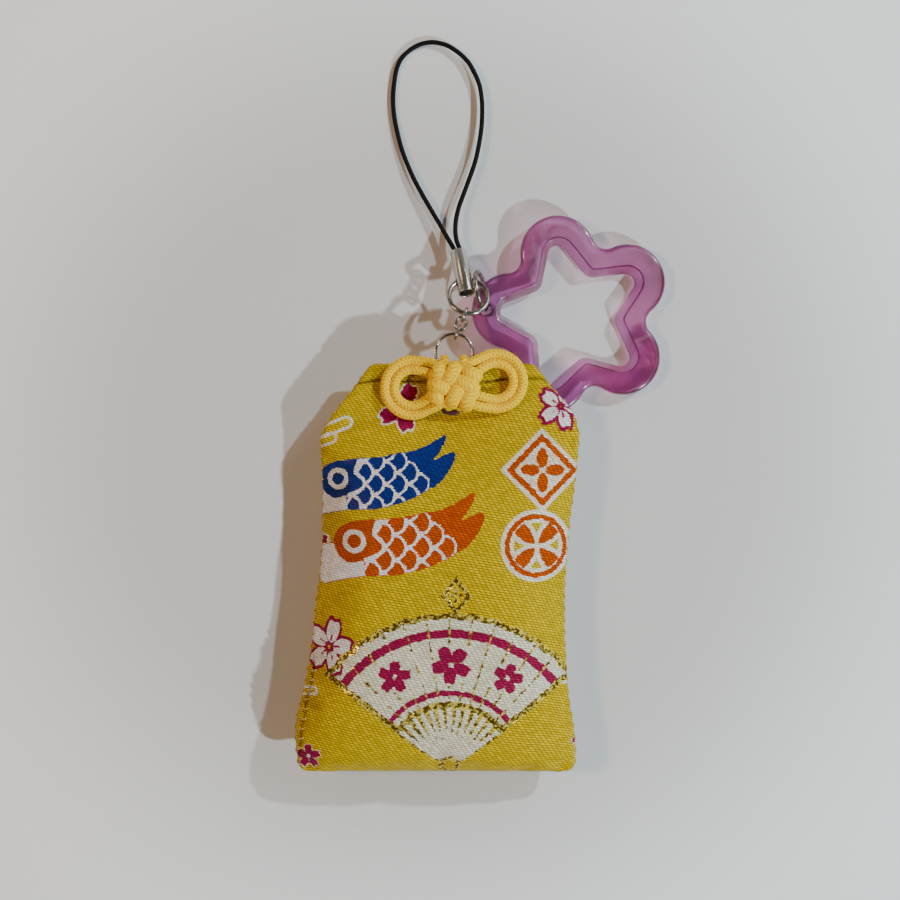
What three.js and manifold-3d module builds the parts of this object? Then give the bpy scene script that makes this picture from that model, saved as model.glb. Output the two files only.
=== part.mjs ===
// Padded brocade amulet pouch on a phone strap. A stuffed cloth bag is closed at its neck by a braided cord
// tied in a double bow. Two bights of the same cord hold a split ring, and three chain links join that ring
// to a jump ring, which carries a crimped strap loop and, on a second jump ring, an open star charm.
// The object lies on its back: +Y points from the pouch to the strap loop, +X to the charm, and +Z up.
import * as THREE from "three";
import { mergeVertices } from "three/addons/utils/BufferGeometryUtils.js";
import Module from "manifold-3d";

// Gaps, in millimetres as all lengths here
const FIT = 0.25; // between pieces that touch on the real object
const LINK_FIT = 0.2; // between wires that hang in one another
const TABLE_GAP = 0.04; // between the surface and a rigid piece that leans on it

// Cloth bag
const CLOTH = 0.6; // brocade with its lining
const FOLD_WIDTH = 49.6; // across the folded bottom edge
const WAIST_WIDTH = 43.8; // where the filling draws the sides in
const SHOULDER_WIDTH = 46;
const MOUTH_WIDTH = 29.6;
const FOLD_TO_ORIGIN = 34; // the origin lies under the belly
const FOLD_TO_WAIST = 34;
const WAIST_TO_SHOULDER = 26;
const SHOULDER_TO_MOUTH = 12.6;
const LEAN = 3.35; // sideways shift of the mouth against the folded edge
const LEAN_PIVOT = 3.5; // height on the bag where the lean crosses the origin line
const SEAM_HEIGHT = 6.8; // side seams above the surface
const NECK_HEIGHT = 6.8; // middle of the flat neck above the surface
const NECK_LENGTH = 9.1;
const FRONT_BULGE = 5.3;
const PRESSED_FLAT = 0.5; // how far the surface presses the back's crown in
const BULGE_RUN_FOLD = 10; // run over which the bulge rises from the folded edge
const BULGE_RUN_NECK = 17.5; // run over which it falls to the neck
const FOLD_FLARE = 1.6; // powers that shape the sides below and above the waist
const SHOULDER_FLARE = 2;
const BULGE_FLANK = 3; // powers that shape the bulge across the bag
const BULGE_ROUND = 0.75;
const SEAM_THREAD = 0.5;

// Filling
const SLIP_WIDTH = 28;
const SLIP_LENGTH = 44;
const SLIP_THICK = 0.9;
const SLIP_ABOVE_FOLD = 3;
const WADDING_SIDE_INSET = 3.2;
const WADDING_FOLD_INSET = 3.5;
const WADDING_NECK_INSET = 9;
const WADDING_FIT = 0.4; // the pads stand off the cloth

// Bow knot of braided cord
const BRAID = 1.7; // cord diameter
const KNOT_BELOW_MOUTH = 3.8;
const KNOT_ACROSS = 1.43; // place of the knot across the neck
const KNOT_TURN = 4.5; // degrees
const LOOP_REACH = 7.4; // knot centre to the centre of a loop
const INNER_LOOP = 2.95; // radius of the inner strand's centreline
const LOOP_TOP_ANGLE = 72; // degrees on the loop's circle where the strand leaves it above
const LOOP_FOOT_ANGLE = 306; // and below
const LOOP_TAIL = 1.8; // straight strand from the loop into the crown
const LOOP_RISE = 2.9; // how far the strands climb from a loop's middle to the knot's middle
const CROWN_LONG = 2.5; // half sizes of the four pads of the knot's crown
const CROWN_WIDE = 2.1;
const CROWN_RISE = 2.35;
const CROWN_END_X = 1.75; // places of the pads at the top and bottom, before the slant
const CROWN_END_Y = 1.9;
const CROWN_SIDE_X = 2.3; // and of the pads at the sides
const CROWN_SIDE_Y = 1.75;
const CROWN_SKEW = 0.3; // slant of the crossing strands
const EYELET_BELOW_KNOT = 3.8; // slot in the neck that the cord passes
const BIGHT_SPREAD = 1.25; // each bight from the middle of the split ring
const BIGHT_BEND = 1.2; // radius of its turns

// Split ring, of two turns pressed together
const SPLIT_RADIUS = 3.3;
const SPLIT_WIRE = 0.55;
const SPLIT_STACK = 0.95; // both turns
const SPLIT_GROOVE = 0.12;
const SPLIT_OVER_HEM = 1.4; // how far the ring reaches down over the mouth's hem

// Chain of three links
const LINK_WIRE = 0.45;
const LINK_INNER_LENGTH = 1.9;
const LINK_INNER_WIDTH = 1.35;
const CHAIN_OFFSET = 0.5; // place of the first link on the split ring, across
const CHAIN_YAW = 21.4; // degrees from +Y towards +X

// Jump rings
const JUMP_RADIUS = 3.48;
const JUMP_WIRE = 0.85;
const JUMP_YAW = 11;
const JUMP_TILT = 26; // the ring falls towards the strap
const JUMP_SLIT = 3; // degrees that the wire's two ends stand apart
const JUMP_SLIT_AT = 115; // place of that slit on the ring
const CHARM_RING_RADIUS = 3.45;
const CHARM_RING_WIRE = 0.85;
const CHARM_RING_LEAN = 15;
const CHARM_SLIT_AT = 150;
const CHARM_RING_YAW = 11.7; // of its plane, from the Y axis
const CHARM_RING_X = 2.32; // centre, measured from the centre of the upper jump ring
const CHARM_RING_Y = 1.31;

// Star charm, an open frame moulded in clear acrylic
const STAR_TIP = 18.5; // centre to the round tips
const STAR_LOBE = 6.9; // radius of a round tip
const STAR_VALLEY = 13.3; // centre to the outer valleys
const STAR_OPEN_TIP = 13.1; // the same for the opening
const STAR_OPEN_TIP_ROUND = 1.7;
const STAR_OPEN_VALLEY = 7.8;
const STAR_OPEN_VALLEY_ROUND = 2.4;
const STAR_THICK = 2.8;
const STAR_EDGE = 0.5; // rounded edges
const STAR_HOLE = 1.1; // hole radius
const STAR_HOLE_FROM_TIP = 2.5;
const STAR_TURN = 3.9; // degrees clockwise on the surface
const STAR_BELOW_RING = 0.2; // the charm's middle under the centre of its ring

// Crimp ferrule and strap cord
const FERRULE_LENGTH = 8.7;
const FERRULE_RADIUS = 1.48;
const FERRULE_BORE = 1.18;
const FERRULE_CHAMFER = 0.12;
const FERRULE_YAW = 10.8; // from +Y towards -X
const FERRULE_TILT = 25; // its open end stands up
const FERRULE_RING_ANGLE = 23; // place on the jump ring, from the ring's far point
const FERRULE_HOLE_FROM_END = 2.8;
const STRAP = 0.85; // cord diameter
const STRAP_SEAT = 4.2; // cord inside the ferrule
const STRAP_SPACING = 0.95; // between the two strands in the bore

const wasm = await Module();
wasm.setup();
const UP = new THREE.Vector3(0, 0, 1);
const rad = THREE.MathUtils.degToRad;
const lerp = THREE.MathUtils.lerp;
const clamp = THREE.MathUtils.clamp;
const root = new THREE.Group();

// Finishes
const brocade = new THREE.MeshStandardMaterial({ color: "#d3a81c", roughness: 0.75 });
const batting = new THREE.MeshStandardMaterial({ color: "#f1efe8", roughness: 0.95 });
const card = new THREE.MeshStandardMaterial({ color: "#e9dfc8", roughness: 0.9 });
const thread = new THREE.MeshStandardMaterial({ color: "#d9b52e", roughness: 0.8 });
const braid = new THREE.MeshStandardMaterial({ color: "#f7d21f", roughness: 0.8 });
const nickel = new THREE.MeshStandardMaterial({ color: "#b9b6ae", roughness: 0.25, metalness: 1 });
const steel = new THREE.MeshStandardMaterial({ color: "#cfd0d2", roughness: 0.3, metalness: 1 });
const acrylic = new THREE.MeshStandardMaterial({ color: "#b45fae", roughness: 0.12 });
const rubberCord = new THREE.MeshStandardMaterial({ color: "#141414", roughness: 0.55 });

function addMesh(parent, name, geometry, material) {
  const mesh = new THREE.Mesh(geometry, material);
  mesh.name = name;
  parent.add(mesh);
  return mesh;
}

// Booleans on closed geometries
function solidOf(geometry) {
  const plain = geometry.clone();
  plain.deleteAttribute("normal");
  plain.deleteAttribute("uv");
  const merged = mergeVertices(plain, 1e-4);
  const triVerts = new Uint32Array(merged.index.array);
  const vertProperties = merged.attributes.position.array;
  return new wasm.Manifold(new wasm.Mesh({ numProp: 3, vertProperties, triVerts }));
}

function geometryOf(solid) {
  const mesh = solid.getMesh();
  const geometry = new THREE.BufferGeometry();
  geometry.setAttribute("position", new THREE.BufferAttribute(mesh.vertProperties, 3));
  geometry.setIndex(new THREE.BufferAttribute(mesh.triVerts, 1));
  return geometry;
}

function cut(geometry, ...tools) {
  return geometryOf(tools.reduce((solid, tool) => solid.subtract(solidOf(tool)), solidOf(geometry)));
}

function join(...geometries) {
  return geometryOf(geometries.map(solidOf).reduce((all, next) => all.add(next)));
}

// A round bar along a curve, with flat ends
function barAlong(curve, radius, steps, sides = 8) {
  const section = new THREE.Shape();
  for (let i = 0; i < sides; i++) {
    const angle = ((i + 0.5) / sides) * 2 * Math.PI;
    const point = [radius * Math.cos(angle), radius * Math.sin(angle)];
    if (i === 0) section.moveTo(...point);
    else section.lineTo(...point);
  }
  return new THREE.ExtrudeGeometry(section, { steps, extrudePath: curve, bevelEnabled: false });
}

function barThrough(points, radius, steps, sides) {
  return barAlong(new THREE.CatmullRomCurve3(points, false, "centripetal"), radius, steps, sides);
}

// A group whose axes are set by two directions
function framed(parent, name, position, xAxis, zAxis) {
  const group = new THREE.Group();
  const z = zAxis.clone().normalize();
  const y = new THREE.Vector3().crossVectors(z, xAxis).normalize();
  const x = new THREE.Vector3().crossVectors(y, z);
  group.name = name;
  group.quaternion.setFromRotationMatrix(new THREE.Matrix4().makeBasis(x, y, z));
  group.position.copy(position);
  parent.add(group);
  return group;
}

// Outline and bulge of the bag
const foldY = -FOLD_TO_ORIGIN;
const waistY = foldY + FOLD_TO_WAIST;
const shoulderY = waistY + WAIST_TO_SHOULDER;
const mouthY = shoulderY + SHOULDER_TO_MOUTH;
const neckY = mouthY - NECK_LENGTH;
const bagHeight = mouthY - foldY;

function middleX(y) {
  return (LEAN * (y - LEAN_PIVOT)) / bagHeight;
}

function halfWidth(y) {
  const below = clamp((waistY - y) / FOLD_TO_WAIST, 0, 1) ** FOLD_FLARE;
  const above = clamp((y - waistY) / WAIST_TO_SHOULDER, 0, 1) ** SHOULDER_FLARE;
  if (y < waistY) return lerp(WAIST_WIDTH, FOLD_WIDTH, below) / 2;
  if (y < shoulderY) return lerp(WAIST_WIDTH, SHOULDER_WIDTH, above) / 2;
  return lerp(SHOULDER_WIDTH, MOUTH_WIDTH, (y - shoulderY) / SHOULDER_TO_MOUTH) / 2;
}

function neckShare(y) {
  return THREE.MathUtils.smoothstep(y, neckY - BULGE_RUN_NECK, neckY);
}

function seamZ(y) {
  return lerp(SEAM_HEIGHT, NECK_HEIGHT, neckShare(y));
}

function bulge(s, y) {
  const across = (1 - Math.min(1, Math.abs(s)) ** BULGE_FLANK) ** BULGE_ROUND;
  const rise = 1 - clamp((y - foldY) / BULGE_RUN_FOLD, 0, 1);
  return across * Math.sqrt(1 - rise * rise) * (1 - neckShare(y));
}

const backBulge = SEAM_HEIGHT - FIT / 2 - CLOTH + PRESSED_FLAT;
const frontInside = (s, y) => seamZ(y) + FIT / 2 + FRONT_BULGE * bulge(s, y);
const backInside = (s, y) => Math.max(CLOTH, seamZ(y) - FIT / 2 - backBulge * bulge(s, y));
const neckFront = NECK_HEIGHT + FIT / 2 + CLOTH;
const neckBack = NECK_HEIGHT - FIT / 2 - CLOTH;

// A closed sheet between two heights over rows of points: each row is a y and its two ends across
function quilted(rows, columns, topZ, bottomZ) {
  const positions = [];
  const index = [];
  const side = rows.length * (columns + 1);
  for (const heightAt of [topZ, bottomZ]) {
    for (const row of rows) {
      for (let i = 0; i <= columns; i++) {
        const s = Math.sin(((2 * i) / columns - 1) * (Math.PI / 2)) * row.share;
        positions.push(middleX(row.y) + s * halfWidth(row.y), row.y, heightAt(s, row.y));
      }
    }
  }
  const quad = (a, b, c, d) => index.push(a, b, c, a, c, d);
  const at = (j, i) => j * (columns + 1) + i;
  for (let j = 0; j + 1 < rows.length; j++) {
    for (let i = 0; i < columns; i++) {
      quad(at(j, i), at(j, i + 1), at(j + 1, i + 1), at(j + 1, i));
      quad(side + at(j, i), side + at(j + 1, i), side + at(j + 1, i + 1), side + at(j, i + 1));
    }
    quad(at(j, 0), at(j + 1, 0), side + at(j + 1, 0), side + at(j, 0));
    quad(at(j + 1, columns), at(j, columns), side + at(j, columns), side + at(j + 1, columns));
  }
  const last = rows.length - 1;
  for (let i = 0; i < columns; i++) {
    quad(at(0, i + 1), at(0, i), side + at(0, i), side + at(0, i + 1));
    quad(at(last, i), at(last, i + 1), side + at(last, i + 1), side + at(last, i));
  }
  const geometry = new THREE.BufferGeometry();
  geometry.setAttribute("position", new THREE.Float32BufferAttribute(positions, 3));
  geometry.setIndex(index);
  return geometry;
}

function rowsBetween(low, high, count, shareAt = () => 1) {
  return Array.from({ length: count + 1 }, (_, j) => {
    const y = lerp(low, high, j / count);
    return { y, share: shareAt(y) };
  });
}

// Bag: front and back panels, open towards each other, with a slot in the neck for the cord
const bag = new THREE.Group();
root.add(bag);
const panelColumns = 16;
const panelRows = [...rowsBetween(foldY, shoulderY, 18), ...rowsBetween(shoulderY, mouthY, 5).slice(1)];
const knotY = mouthY - KNOT_BELOW_MOUTH;
const eyeletY = knotY - EYELET_BELOW_KNOT;
const strandShift = BRAID / 2 + FIT / 2;
const eyeletRound = BRAID / 2 + FIT;

function eyeletTool() {
  const slot = new THREE.Shape();
  slot.absarc(strandShift, 0, eyeletRound, -Math.PI / 2, Math.PI / 2);
  slot.absarc(-strandShift, 0, eyeletRound, Math.PI / 2, (3 * Math.PI) / 2);
  const depth = neckFront - neckBack + 2 * CLOTH;
  const tool = new THREE.ExtrudeGeometry(slot, { depth, bevelEnabled: false, curveSegments: 6 });
  return tool.translate(KNOT_ACROSS, eyeletY, neckBack - CLOTH);
}

const frontOutside = (s, y) => frontInside(s, y) + CLOTH;
const backOutside = (s, y) => backInside(s, y) - CLOTH;
const frontPanel = quilted(panelRows, panelColumns, frontOutside, frontInside);
const backPanel = quilted(panelRows, panelColumns, backInside, backOutside);
addMesh(bag, "pouch_front", cut(frontPanel, eyeletTool()), brocade);
addMesh(bag, "pouch_back", cut(backPanel, eyeletTool()), brocade);

// Filling: two pads of wadding with the prayer slip between them
const slipTop = SLIP_THICK / 2 + FIT;
const waddingShare = (y) => 1 - WADDING_SIDE_INSET / halfWidth(y);
const waddingRows = rowsBetween(foldY + WADDING_FOLD_INSET, neckY - WADDING_NECK_INSET, 12, waddingShare);
const waddingColumns = 10;
const padFront = (s, y) => frontInside(s, y) - WADDING_FIT;
const padBack = (s, y) => backInside(s, y) + WADDING_FIT;
const aboveSlip = (s, y) => seamZ(y) + slipTop;
const underSlip = (s, y) => seamZ(y) - slipTop;
addMesh(bag, "wadding_front", quilted(waddingRows, waddingColumns, padFront, aboveSlip), batting);
addMesh(bag, "wadding_back", quilted(waddingRows, waddingColumns, underSlip, padBack), batting);
const slip = addMesh(bag, "prayer_slip", new THREE.BoxGeometry(SLIP_WIDTH, SLIP_LENGTH, SLIP_THICK), card);
const slipY = foldY + SLIP_ABOVE_FOLD + SLIP_LENGTH / 2;
slip.position.set(middleX(slipY), slipY, SEAM_HEIGHT);

// Seam threads along both sides, just outside the two panels' edges
for (const [name, sign] of [["side_seam_left", -1], ["side_seam_right", 1]]) {
  const out = FIT + SEAM_THREAD / 2;
  const seamRows = rowsBetween(foldY + SEAM_THREAD, mouthY - SEAM_THREAD, 24);
  const points = seamRows.map(({ y }) => {
    const x = middleX(y) + sign * (halfWidth(y) + out);
    return new THREE.Vector3(x, y, seamZ(y));
  });
  addMesh(bag, name, barThrough(points, SEAM_THREAD / 2, 26, 6), thread);
}

// Bow knot: two strands in each loop, and a crown of four pads that the strands run into
const knot = new THREE.Group();
knot.position.set(KNOT_ACROSS, knotY, neckFront);
knot.rotation.z = rad(KNOT_TURN);
bag.add(knot);
const strandZ = FIT + BRAID / 2;
const outerLoop = INNER_LOOP + BRAID + FIT;

function loopPoints(radius, tail) {
  const points = [];
  const count = 14;
  const top = rad(LOOP_TOP_ANGLE);
  const foot = rad(LOOP_FOOT_ANGLE);
  const place = (angle) => new THREE.Vector3(Math.cos(angle), Math.sin(angle), 0).multiplyScalar(radius);
  const along = (angle) => new THREE.Vector3(Math.sin(angle), -Math.cos(angle), 0).multiplyScalar(tail);
  points.push(place(top).add(along(top)));
  for (let i = 0; i <= count; i++) points.push(place(lerp(top, foot, i / count)));
  points.push(place(foot).sub(along(foot)));
  for (const point of points) {
    point.z = strandZ + (LOOP_RISE * Math.max(0, point.x)) / LOOP_REACH;
    point.x -= LOOP_REACH;
  }
  return points;
}

const crownTools = [];
for (const [side, turn] of [["left", 0], ["right", Math.PI]]) {
  for (const [strand, radius] of [["outer", outerLoop], ["inner", INNER_LOOP]]) {
    const loop = barThrough(loopPoints(radius, LOOP_TAIL), BRAID / 2, 22);
    addMesh(knot, `knot_${side}_${strand}_loop`, loop, braid).rotation.z = turn;
    const room = barThrough(loopPoints(radius, LOOP_TAIL + FIT), BRAID / 2 + FIT, 22);
    crownTools.push(room.rotateZ(turn));
  }
}

// Bights: each runs up over the split ring's lower wire, turns down behind the hem and comes back through
// the slot in the neck to the knot
const splitZ = neckFront + FIT + SPLIT_STACK / 2;
const bightFrontZ = splitZ + SPLIT_STACK / 2 + FIT + BRAID / 2;
const bightBackZ = neckBack - FIT - BRAID / 2;
const bightTurnY = mouthY + FIT + BRAID / 2;
const corner = BIGHT_BEND * (1 - Math.SQRT1_2);

function bightPoints(sign) {
  const x = KNOT_ACROSS + sign * BIGHT_SPREAD;
  const slotX = KNOT_ACROSS + sign * strandShift;
  return [
    new THREE.Vector3(slotX, knotY, bightFrontZ),
    new THREE.Vector3(x, bightTurnY - BIGHT_BEND, bightFrontZ),
    new THREE.Vector3(x, bightTurnY - corner, bightFrontZ - corner),
    new THREE.Vector3(x, bightTurnY, bightFrontZ - BIGHT_BEND),
    new THREE.Vector3(x, bightTurnY, bightBackZ + BIGHT_BEND),
    new THREE.Vector3(x, bightTurnY - corner, bightBackZ + corner),
    new THREE.Vector3(x, bightTurnY - BIGHT_BEND, bightBackZ),
    new THREE.Vector3(slotX, eyeletY + BIGHT_BEND, bightBackZ),
    new THREE.Vector3(slotX, eyeletY + corner, bightBackZ + corner),
    new THREE.Vector3(slotX, eyeletY, bightBackZ + BIGHT_BEND),
    new THREE.Vector3(slotX, eyeletY, neckFront + FIT),
  ];
}

const toKnot = new THREE.Matrix4().makeRotationZ(-rad(KNOT_TURN));
toKnot.multiply(new THREE.Matrix4().makeTranslation(-KNOT_ACROSS, -knotY, -neckFront));
for (const [name, sign] of [["cord_bight_left", -1], ["cord_bight_right", 1]]) {
  const points = bightPoints(sign);
  addMesh(bag, name, barThrough(points, BRAID / 2, 34), braid);
  const first = points[0].clone().setY(knotY - FIT);
  const lastPoint = points[points.length - 1].clone().setZ(neckFront + 2 * FIT);
  const room = barThrough([first, ...points.slice(1, -1), lastPoint], BRAID / 2 + FIT, 34);
  crownTools.push(room.applyMatrix4(toKnot));
}

// Split ring of two turns, with a groove between them; `room` widens it for the space that it needs
const ringFoot = new THREE.Vector3(KNOT_ACROSS, mouthY - SPLIT_OVER_HEM, splitZ);
const ringCentre = ringFoot.clone().setY(ringFoot.y + SPLIT_RADIUS);

function splitRingGeometry(room) {
  const wide = SPLIT_WIRE / 2 + room;
  const high = SPLIT_STACK / 2 + room;
  const waist = wide - SPLIT_GROOVE;
  const edge = high - SPLIT_GROOVE;
  const section = [
    [-wide, -edge], [SPLIT_GROOVE - wide, -high], [wide - SPLIT_GROOVE, -high], [wide, -edge], [waist, 0],
    [wide, edge], [wide - SPLIT_GROOVE, high], [SPLIT_GROOVE - wide, high], [-wide, edge], [-waist, 0],
    [-wide, -edge],
  ];
  const profile = section.map(([radial, axial]) => new THREE.Vector2(SPLIT_RADIUS + radial, axial));
  return new THREE.LatheGeometry(profile, 26).rotateX(Math.PI / 2);
}

const ringRoom = splitRingGeometry(FIT).translate(ringCentre.x, ringCentre.y, ringCentre.z);
crownTools.push(ringRoom.applyMatrix4(toKnot));

function crownPad(x, y, halfX, halfY) {
  const skew = new THREE.Matrix4().set(1, CROWN_SKEW, 0, 0, -CROWN_SKEW, 1, 0, 0, 0, 0, 1, 0, 0, 0, 0, 1);
  const pad = new THREE.SphereGeometry(1, 12, 8).rotateX(Math.PI / 2).scale(halfX, halfY, CROWN_RISE);
  return pad.translate(x, y, FIT + CROWN_RISE).applyMatrix4(skew);
}

const crown = join(
  crownPad(-CROWN_END_X, CROWN_END_Y, CROWN_WIDE, CROWN_LONG),
  crownPad(CROWN_END_X, -CROWN_END_Y, CROWN_WIDE, CROWN_LONG),
  crownPad(-CROWN_SIDE_X, -CROWN_SIDE_Y, CROWN_LONG, CROWN_WIDE),
  crownPad(CROWN_SIDE_X, CROWN_SIDE_Y, CROWN_LONG, CROWN_WIDE),
);
addMesh(knot, "knot_crown", cut(crown, ...crownTools), braid);

// The split ring lies on the neck's front with its lower wire under the bights
const splitRing = new THREE.Group();
splitRing.name = "split_ring_pivot";
splitRing.position.copy(ringCentre);
root.add(splitRing);
addMesh(splitRing, "split_ring", splitRingGeometry(0), nickel);

// Chain links: the first and the last stand upright, the middle one lies flat
const chainAlong = new THREE.Vector3(Math.sin(rad(CHAIN_YAW)), Math.cos(rad(CHAIN_YAW)), 0);
const chainAcross = new THREE.Vector3().crossVectors(chainAlong, UP);
const linkPitch = LINK_INNER_LENGTH - LINK_FIT;
const ringTopY = SPLIT_RADIUS + Math.sqrt(SPLIT_RADIUS ** 2 - CHAIN_OFFSET ** 2);
const chainStart = ringFoot.clone().add(new THREE.Vector3(CHAIN_OFFSET, ringTopY, 0));
const linkRound = LINK_INNER_WIDTH / 2;
const roundEnd = linkRound - Math.sqrt(linkRound ** 2 - (SPLIT_STACK / 2) ** 2);
const firstInner = -SPLIT_WIRE / 2 - roundEnd - LINK_FIT;

function linkGeometry() {
  const around = 16;
  const middle = (LINK_INNER_WIDTH + LINK_WIRE) / 2;
  const stretch = (LINK_INNER_LENGTH - LINK_INNER_WIDTH) / 2;
  const link = new THREE.TorusGeometry(middle, LINK_WIRE / 2, 6, around).rotateZ(Math.PI / around);
  const place = link.attributes.position;
  for (let i = 0; i < place.count; i++) place.setX(i, place.getX(i) + Math.sign(place.getX(i)) * stretch);
  return link;
}

["link_lower", "link_middle", "link_upper"].forEach((name, i) => {
  const inner = firstInner + i * linkPitch;
  const hinge = i === 0 ? 0 : inner + LINK_FIT / 2;
  const pivot = chainStart.clone().addScaledVector(chainAlong, hinge);
  const group = framed(root, `${name}_pivot`, pivot, chainAlong, i === 1 ? UP : chainAcross);
  addMesh(group, name, linkGeometry(), nickel).position.x = inner + LINK_INNER_LENGTH / 2 - hinge;
});

// Upper jump ring: its wire passes the last link, and the ring falls from there towards the strap
class OpenRing extends THREE.Curve {
  constructor(radius, startAngle) {
    super();
    this.radius = radius;
    this.startAngle = startAngle;
  }

  getPoint(t, target = new THREE.Vector3()) {
    const angle = this.startAngle + rad(JUMP_SLIT / 2) + t * rad(360 - JUMP_SLIT);
    return target.set(Math.cos(angle), Math.sin(angle), 0).multiplyScalar(this.radius);
  }
}

const lastInner = firstInner + 2 * linkPitch + LINK_INNER_LENGTH;
const jumpFoot = chainStart.clone().addScaledVector(chainAlong, lastInner - LINK_FIT - JUMP_WIRE / 2);
const jumpFall = -Math.tan(rad(JUMP_TILT));
const jumpFar = new THREE.Vector3(Math.sin(rad(JUMP_YAW)), Math.cos(rad(JUMP_YAW)), jumpFall).normalize();
const jumpLeft = new THREE.Vector3().crossVectors(UP, jumpFar).normalize();
const jumpNormal = new THREE.Vector3().crossVectors(jumpFar, jumpLeft);
const jumpRing = framed(root, "upper_ring_pivot", jumpFoot, jumpFar, jumpNormal);
const jumpGeometry = barAlong(new OpenRing(JUMP_RADIUS, rad(JUMP_SLIT_AT)), JUMP_WIRE / 2, 30);
addMesh(jumpRing, "upper_ring", jumpGeometry, nickel).position.x = JUMP_RADIUS;
const jumpCentre = jumpFoot.clone().addScaledVector(jumpFar, JUMP_RADIUS);

// Crimp ferrule on the jump ring, its open end raised, with a cross hole for the ring's wire
const ferruleAngle = rad(FERRULE_RING_ANGLE);
const ferruleHole = jumpCentre.clone().addScaledVector(jumpFar, JUMP_RADIUS * Math.cos(ferruleAngle));
ferruleHole.addScaledVector(jumpLeft, JUMP_RADIUS * Math.sin(ferruleAngle));
const ferruleFlat = Math.cos(rad(FERRULE_TILT));
const ferruleAlong = new THREE.Vector3(
  -Math.sin(rad(FERRULE_YAW)) * ferruleFlat,
  Math.cos(rad(FERRULE_YAW)) * ferruleFlat,
  -Math.sin(rad(FERRULE_TILT)),
);
const ferruleAcross = new THREE.Vector3().crossVectors(ferruleAlong, UP).normalize();
const ferrule = framed(root, "ferrule_pivot", ferruleHole, ferruleAcross, ferruleAlong);
const ferruleProfile = [
  new THREE.Vector2(FERRULE_BORE, 0),
  new THREE.Vector2(FERRULE_RADIUS - FERRULE_CHAMFER, 0),
  new THREE.Vector2(FERRULE_RADIUS, FERRULE_CHAMFER),
  new THREE.Vector2(FERRULE_RADIUS, FERRULE_LENGTH - FERRULE_CHAMFER),
  new THREE.Vector2(FERRULE_RADIUS - FERRULE_CHAMFER, FERRULE_LENGTH),
  new THREE.Vector2(FERRULE_BORE, FERRULE_LENGTH),
  new THREE.Vector2(FERRULE_BORE, 0),
];
const tube = new THREE.LatheGeometry(ferruleProfile, 20).rotateX(Math.PI / 2);
tube.translate(0, 0, -FERRULE_HOLE_FROM_END);
const wireRoom = new THREE.TorusGeometry(JUMP_RADIUS, JUMP_WIRE / 2 + FIT, 10, 40);
root.updateMatrixWorld(true);
const jumpToWorld = jumpRing.matrixWorld.clone();
jumpToWorld.multiply(new THREE.Matrix4().makeTranslation(JUMP_RADIUS, 0, 0));
wireRoom.applyMatrix4(ferrule.matrixWorld.clone().invert().multiply(jumpToWorld));
addMesh(ferrule, "ferrule", cut(tube, wireRoom), steel);

// Strap cord: both ends sit in the ferrule's bore, and the loop comes down to the surface and lies on it.
// The points are offsets from the ferrule's upper end, across and along, with a height above the surface.
const strapEnd = ferruleHole.clone().addScaledVector(ferruleAlong, FERRULE_LENGTH - FERRULE_HOLE_FROM_END);
const lying = STRAP / 2 + TABLE_GAP;
const strapLoop = [
  [-1.75, 2.3, 1.6], [-3.34, 5.1, 0.85], [-5.04, 8, 0.5], [-6.64, 10.8, lying], [-8.16, 13.7, lying],
  [-9.41, 16.6, lying], [-10.39, 19.4, lying], [-11.11, 22.3, lying], [-11.64, 25.1, lying],
  [-11.82, 28, lying], [-11.64, 30.8, lying], [-11.11, 33.7, lying], [-10, 35.8, lying],
  [-7.7, 37.6, lying], [-5.04, 38.3, lying], [-2.36, 37.8, lying], [-0.13, 36.5, lying],
  [1.39, 35.1, lying], [2.38, 33.7, lying], [3.71, 30.8, lying], [4.25, 28, lying],
  [4.34, 25.1, lying], [4.16, 22.3, lying], [3.71, 19.4, lying], [3.09, 16.6, lying],
  [2.11, 13.7, lying], [1.04, 10.8, lying], [0.05, 8, 0.5], [-0.5, 5.1, 0.85], [-0.35, 2.3, 1.6],
].map(([across, along, z]) => new THREE.Vector3(strapEnd.x + across, strapEnd.y + along, z));

function seatedEnd(sign) {
  return [STRAP_SEAT, STRAP_SEAT / 2, 0].map((depth) => {
    const point = strapEnd.clone().addScaledVector(ferruleAlong, -depth);
    return point.addScaledVector(ferruleAcross, (sign * STRAP_SPACING) / 2);
  });
}

const strapPoints = [...seatedEnd(-1), ...strapLoop, ...seatedEnd(1).reverse()];
addMesh(root, "strap_cord", barThrough(strapPoints, STRAP / 2, 72), rubberCord);

// Charm ring: it stands on the surface, leans to the left and links through the upper jump ring
const charmAlong = new THREE.Vector3(Math.sin(rad(CHARM_RING_YAW)), -Math.cos(rad(CHARM_RING_YAW)), 0);
const charmLean = rad(CHARM_RING_LEAN);
const charmLeft = new THREE.Vector3().crossVectors(charmAlong, UP);
const charmRise = UP.clone().multiplyScalar(Math.cos(charmLean));
charmRise.addScaledVector(charmLeft, Math.sin(charmLean));
const charmCentre = new THREE.Vector3(
  jumpCentre.x + CHARM_RING_X,
  jumpCentre.y + CHARM_RING_Y,
  CHARM_RING_RADIUS * Math.cos(charmLean) + CHARM_RING_WIRE / 2 + TABLE_GAP,
);
const charmNormal = new THREE.Vector3().crossVectors(charmAlong, charmRise);
const charmRing = framed(root, "charm_ring_centre", charmCentre, charmAlong, charmNormal);
const charmLoop = new OpenRing(CHARM_RING_RADIUS, rad(CHARM_SLIT_AT));
const charmGeometry = barAlong(charmLoop, CHARM_RING_WIRE / 2, 30);
addMesh(charmRing, "charm_ring", charmGeometry, nickel);

// Star charm: five round tips joined by fillets, a star-shaped opening, and a hole near one tip
const fifth = (2 * Math.PI) / 5;
const lobeCentre = STAR_TIP - STAR_LOBE;

function onRay(distance, angle) {
  return new THREE.Vector2(distance * Math.cos(angle), distance * Math.sin(angle));
}

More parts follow.
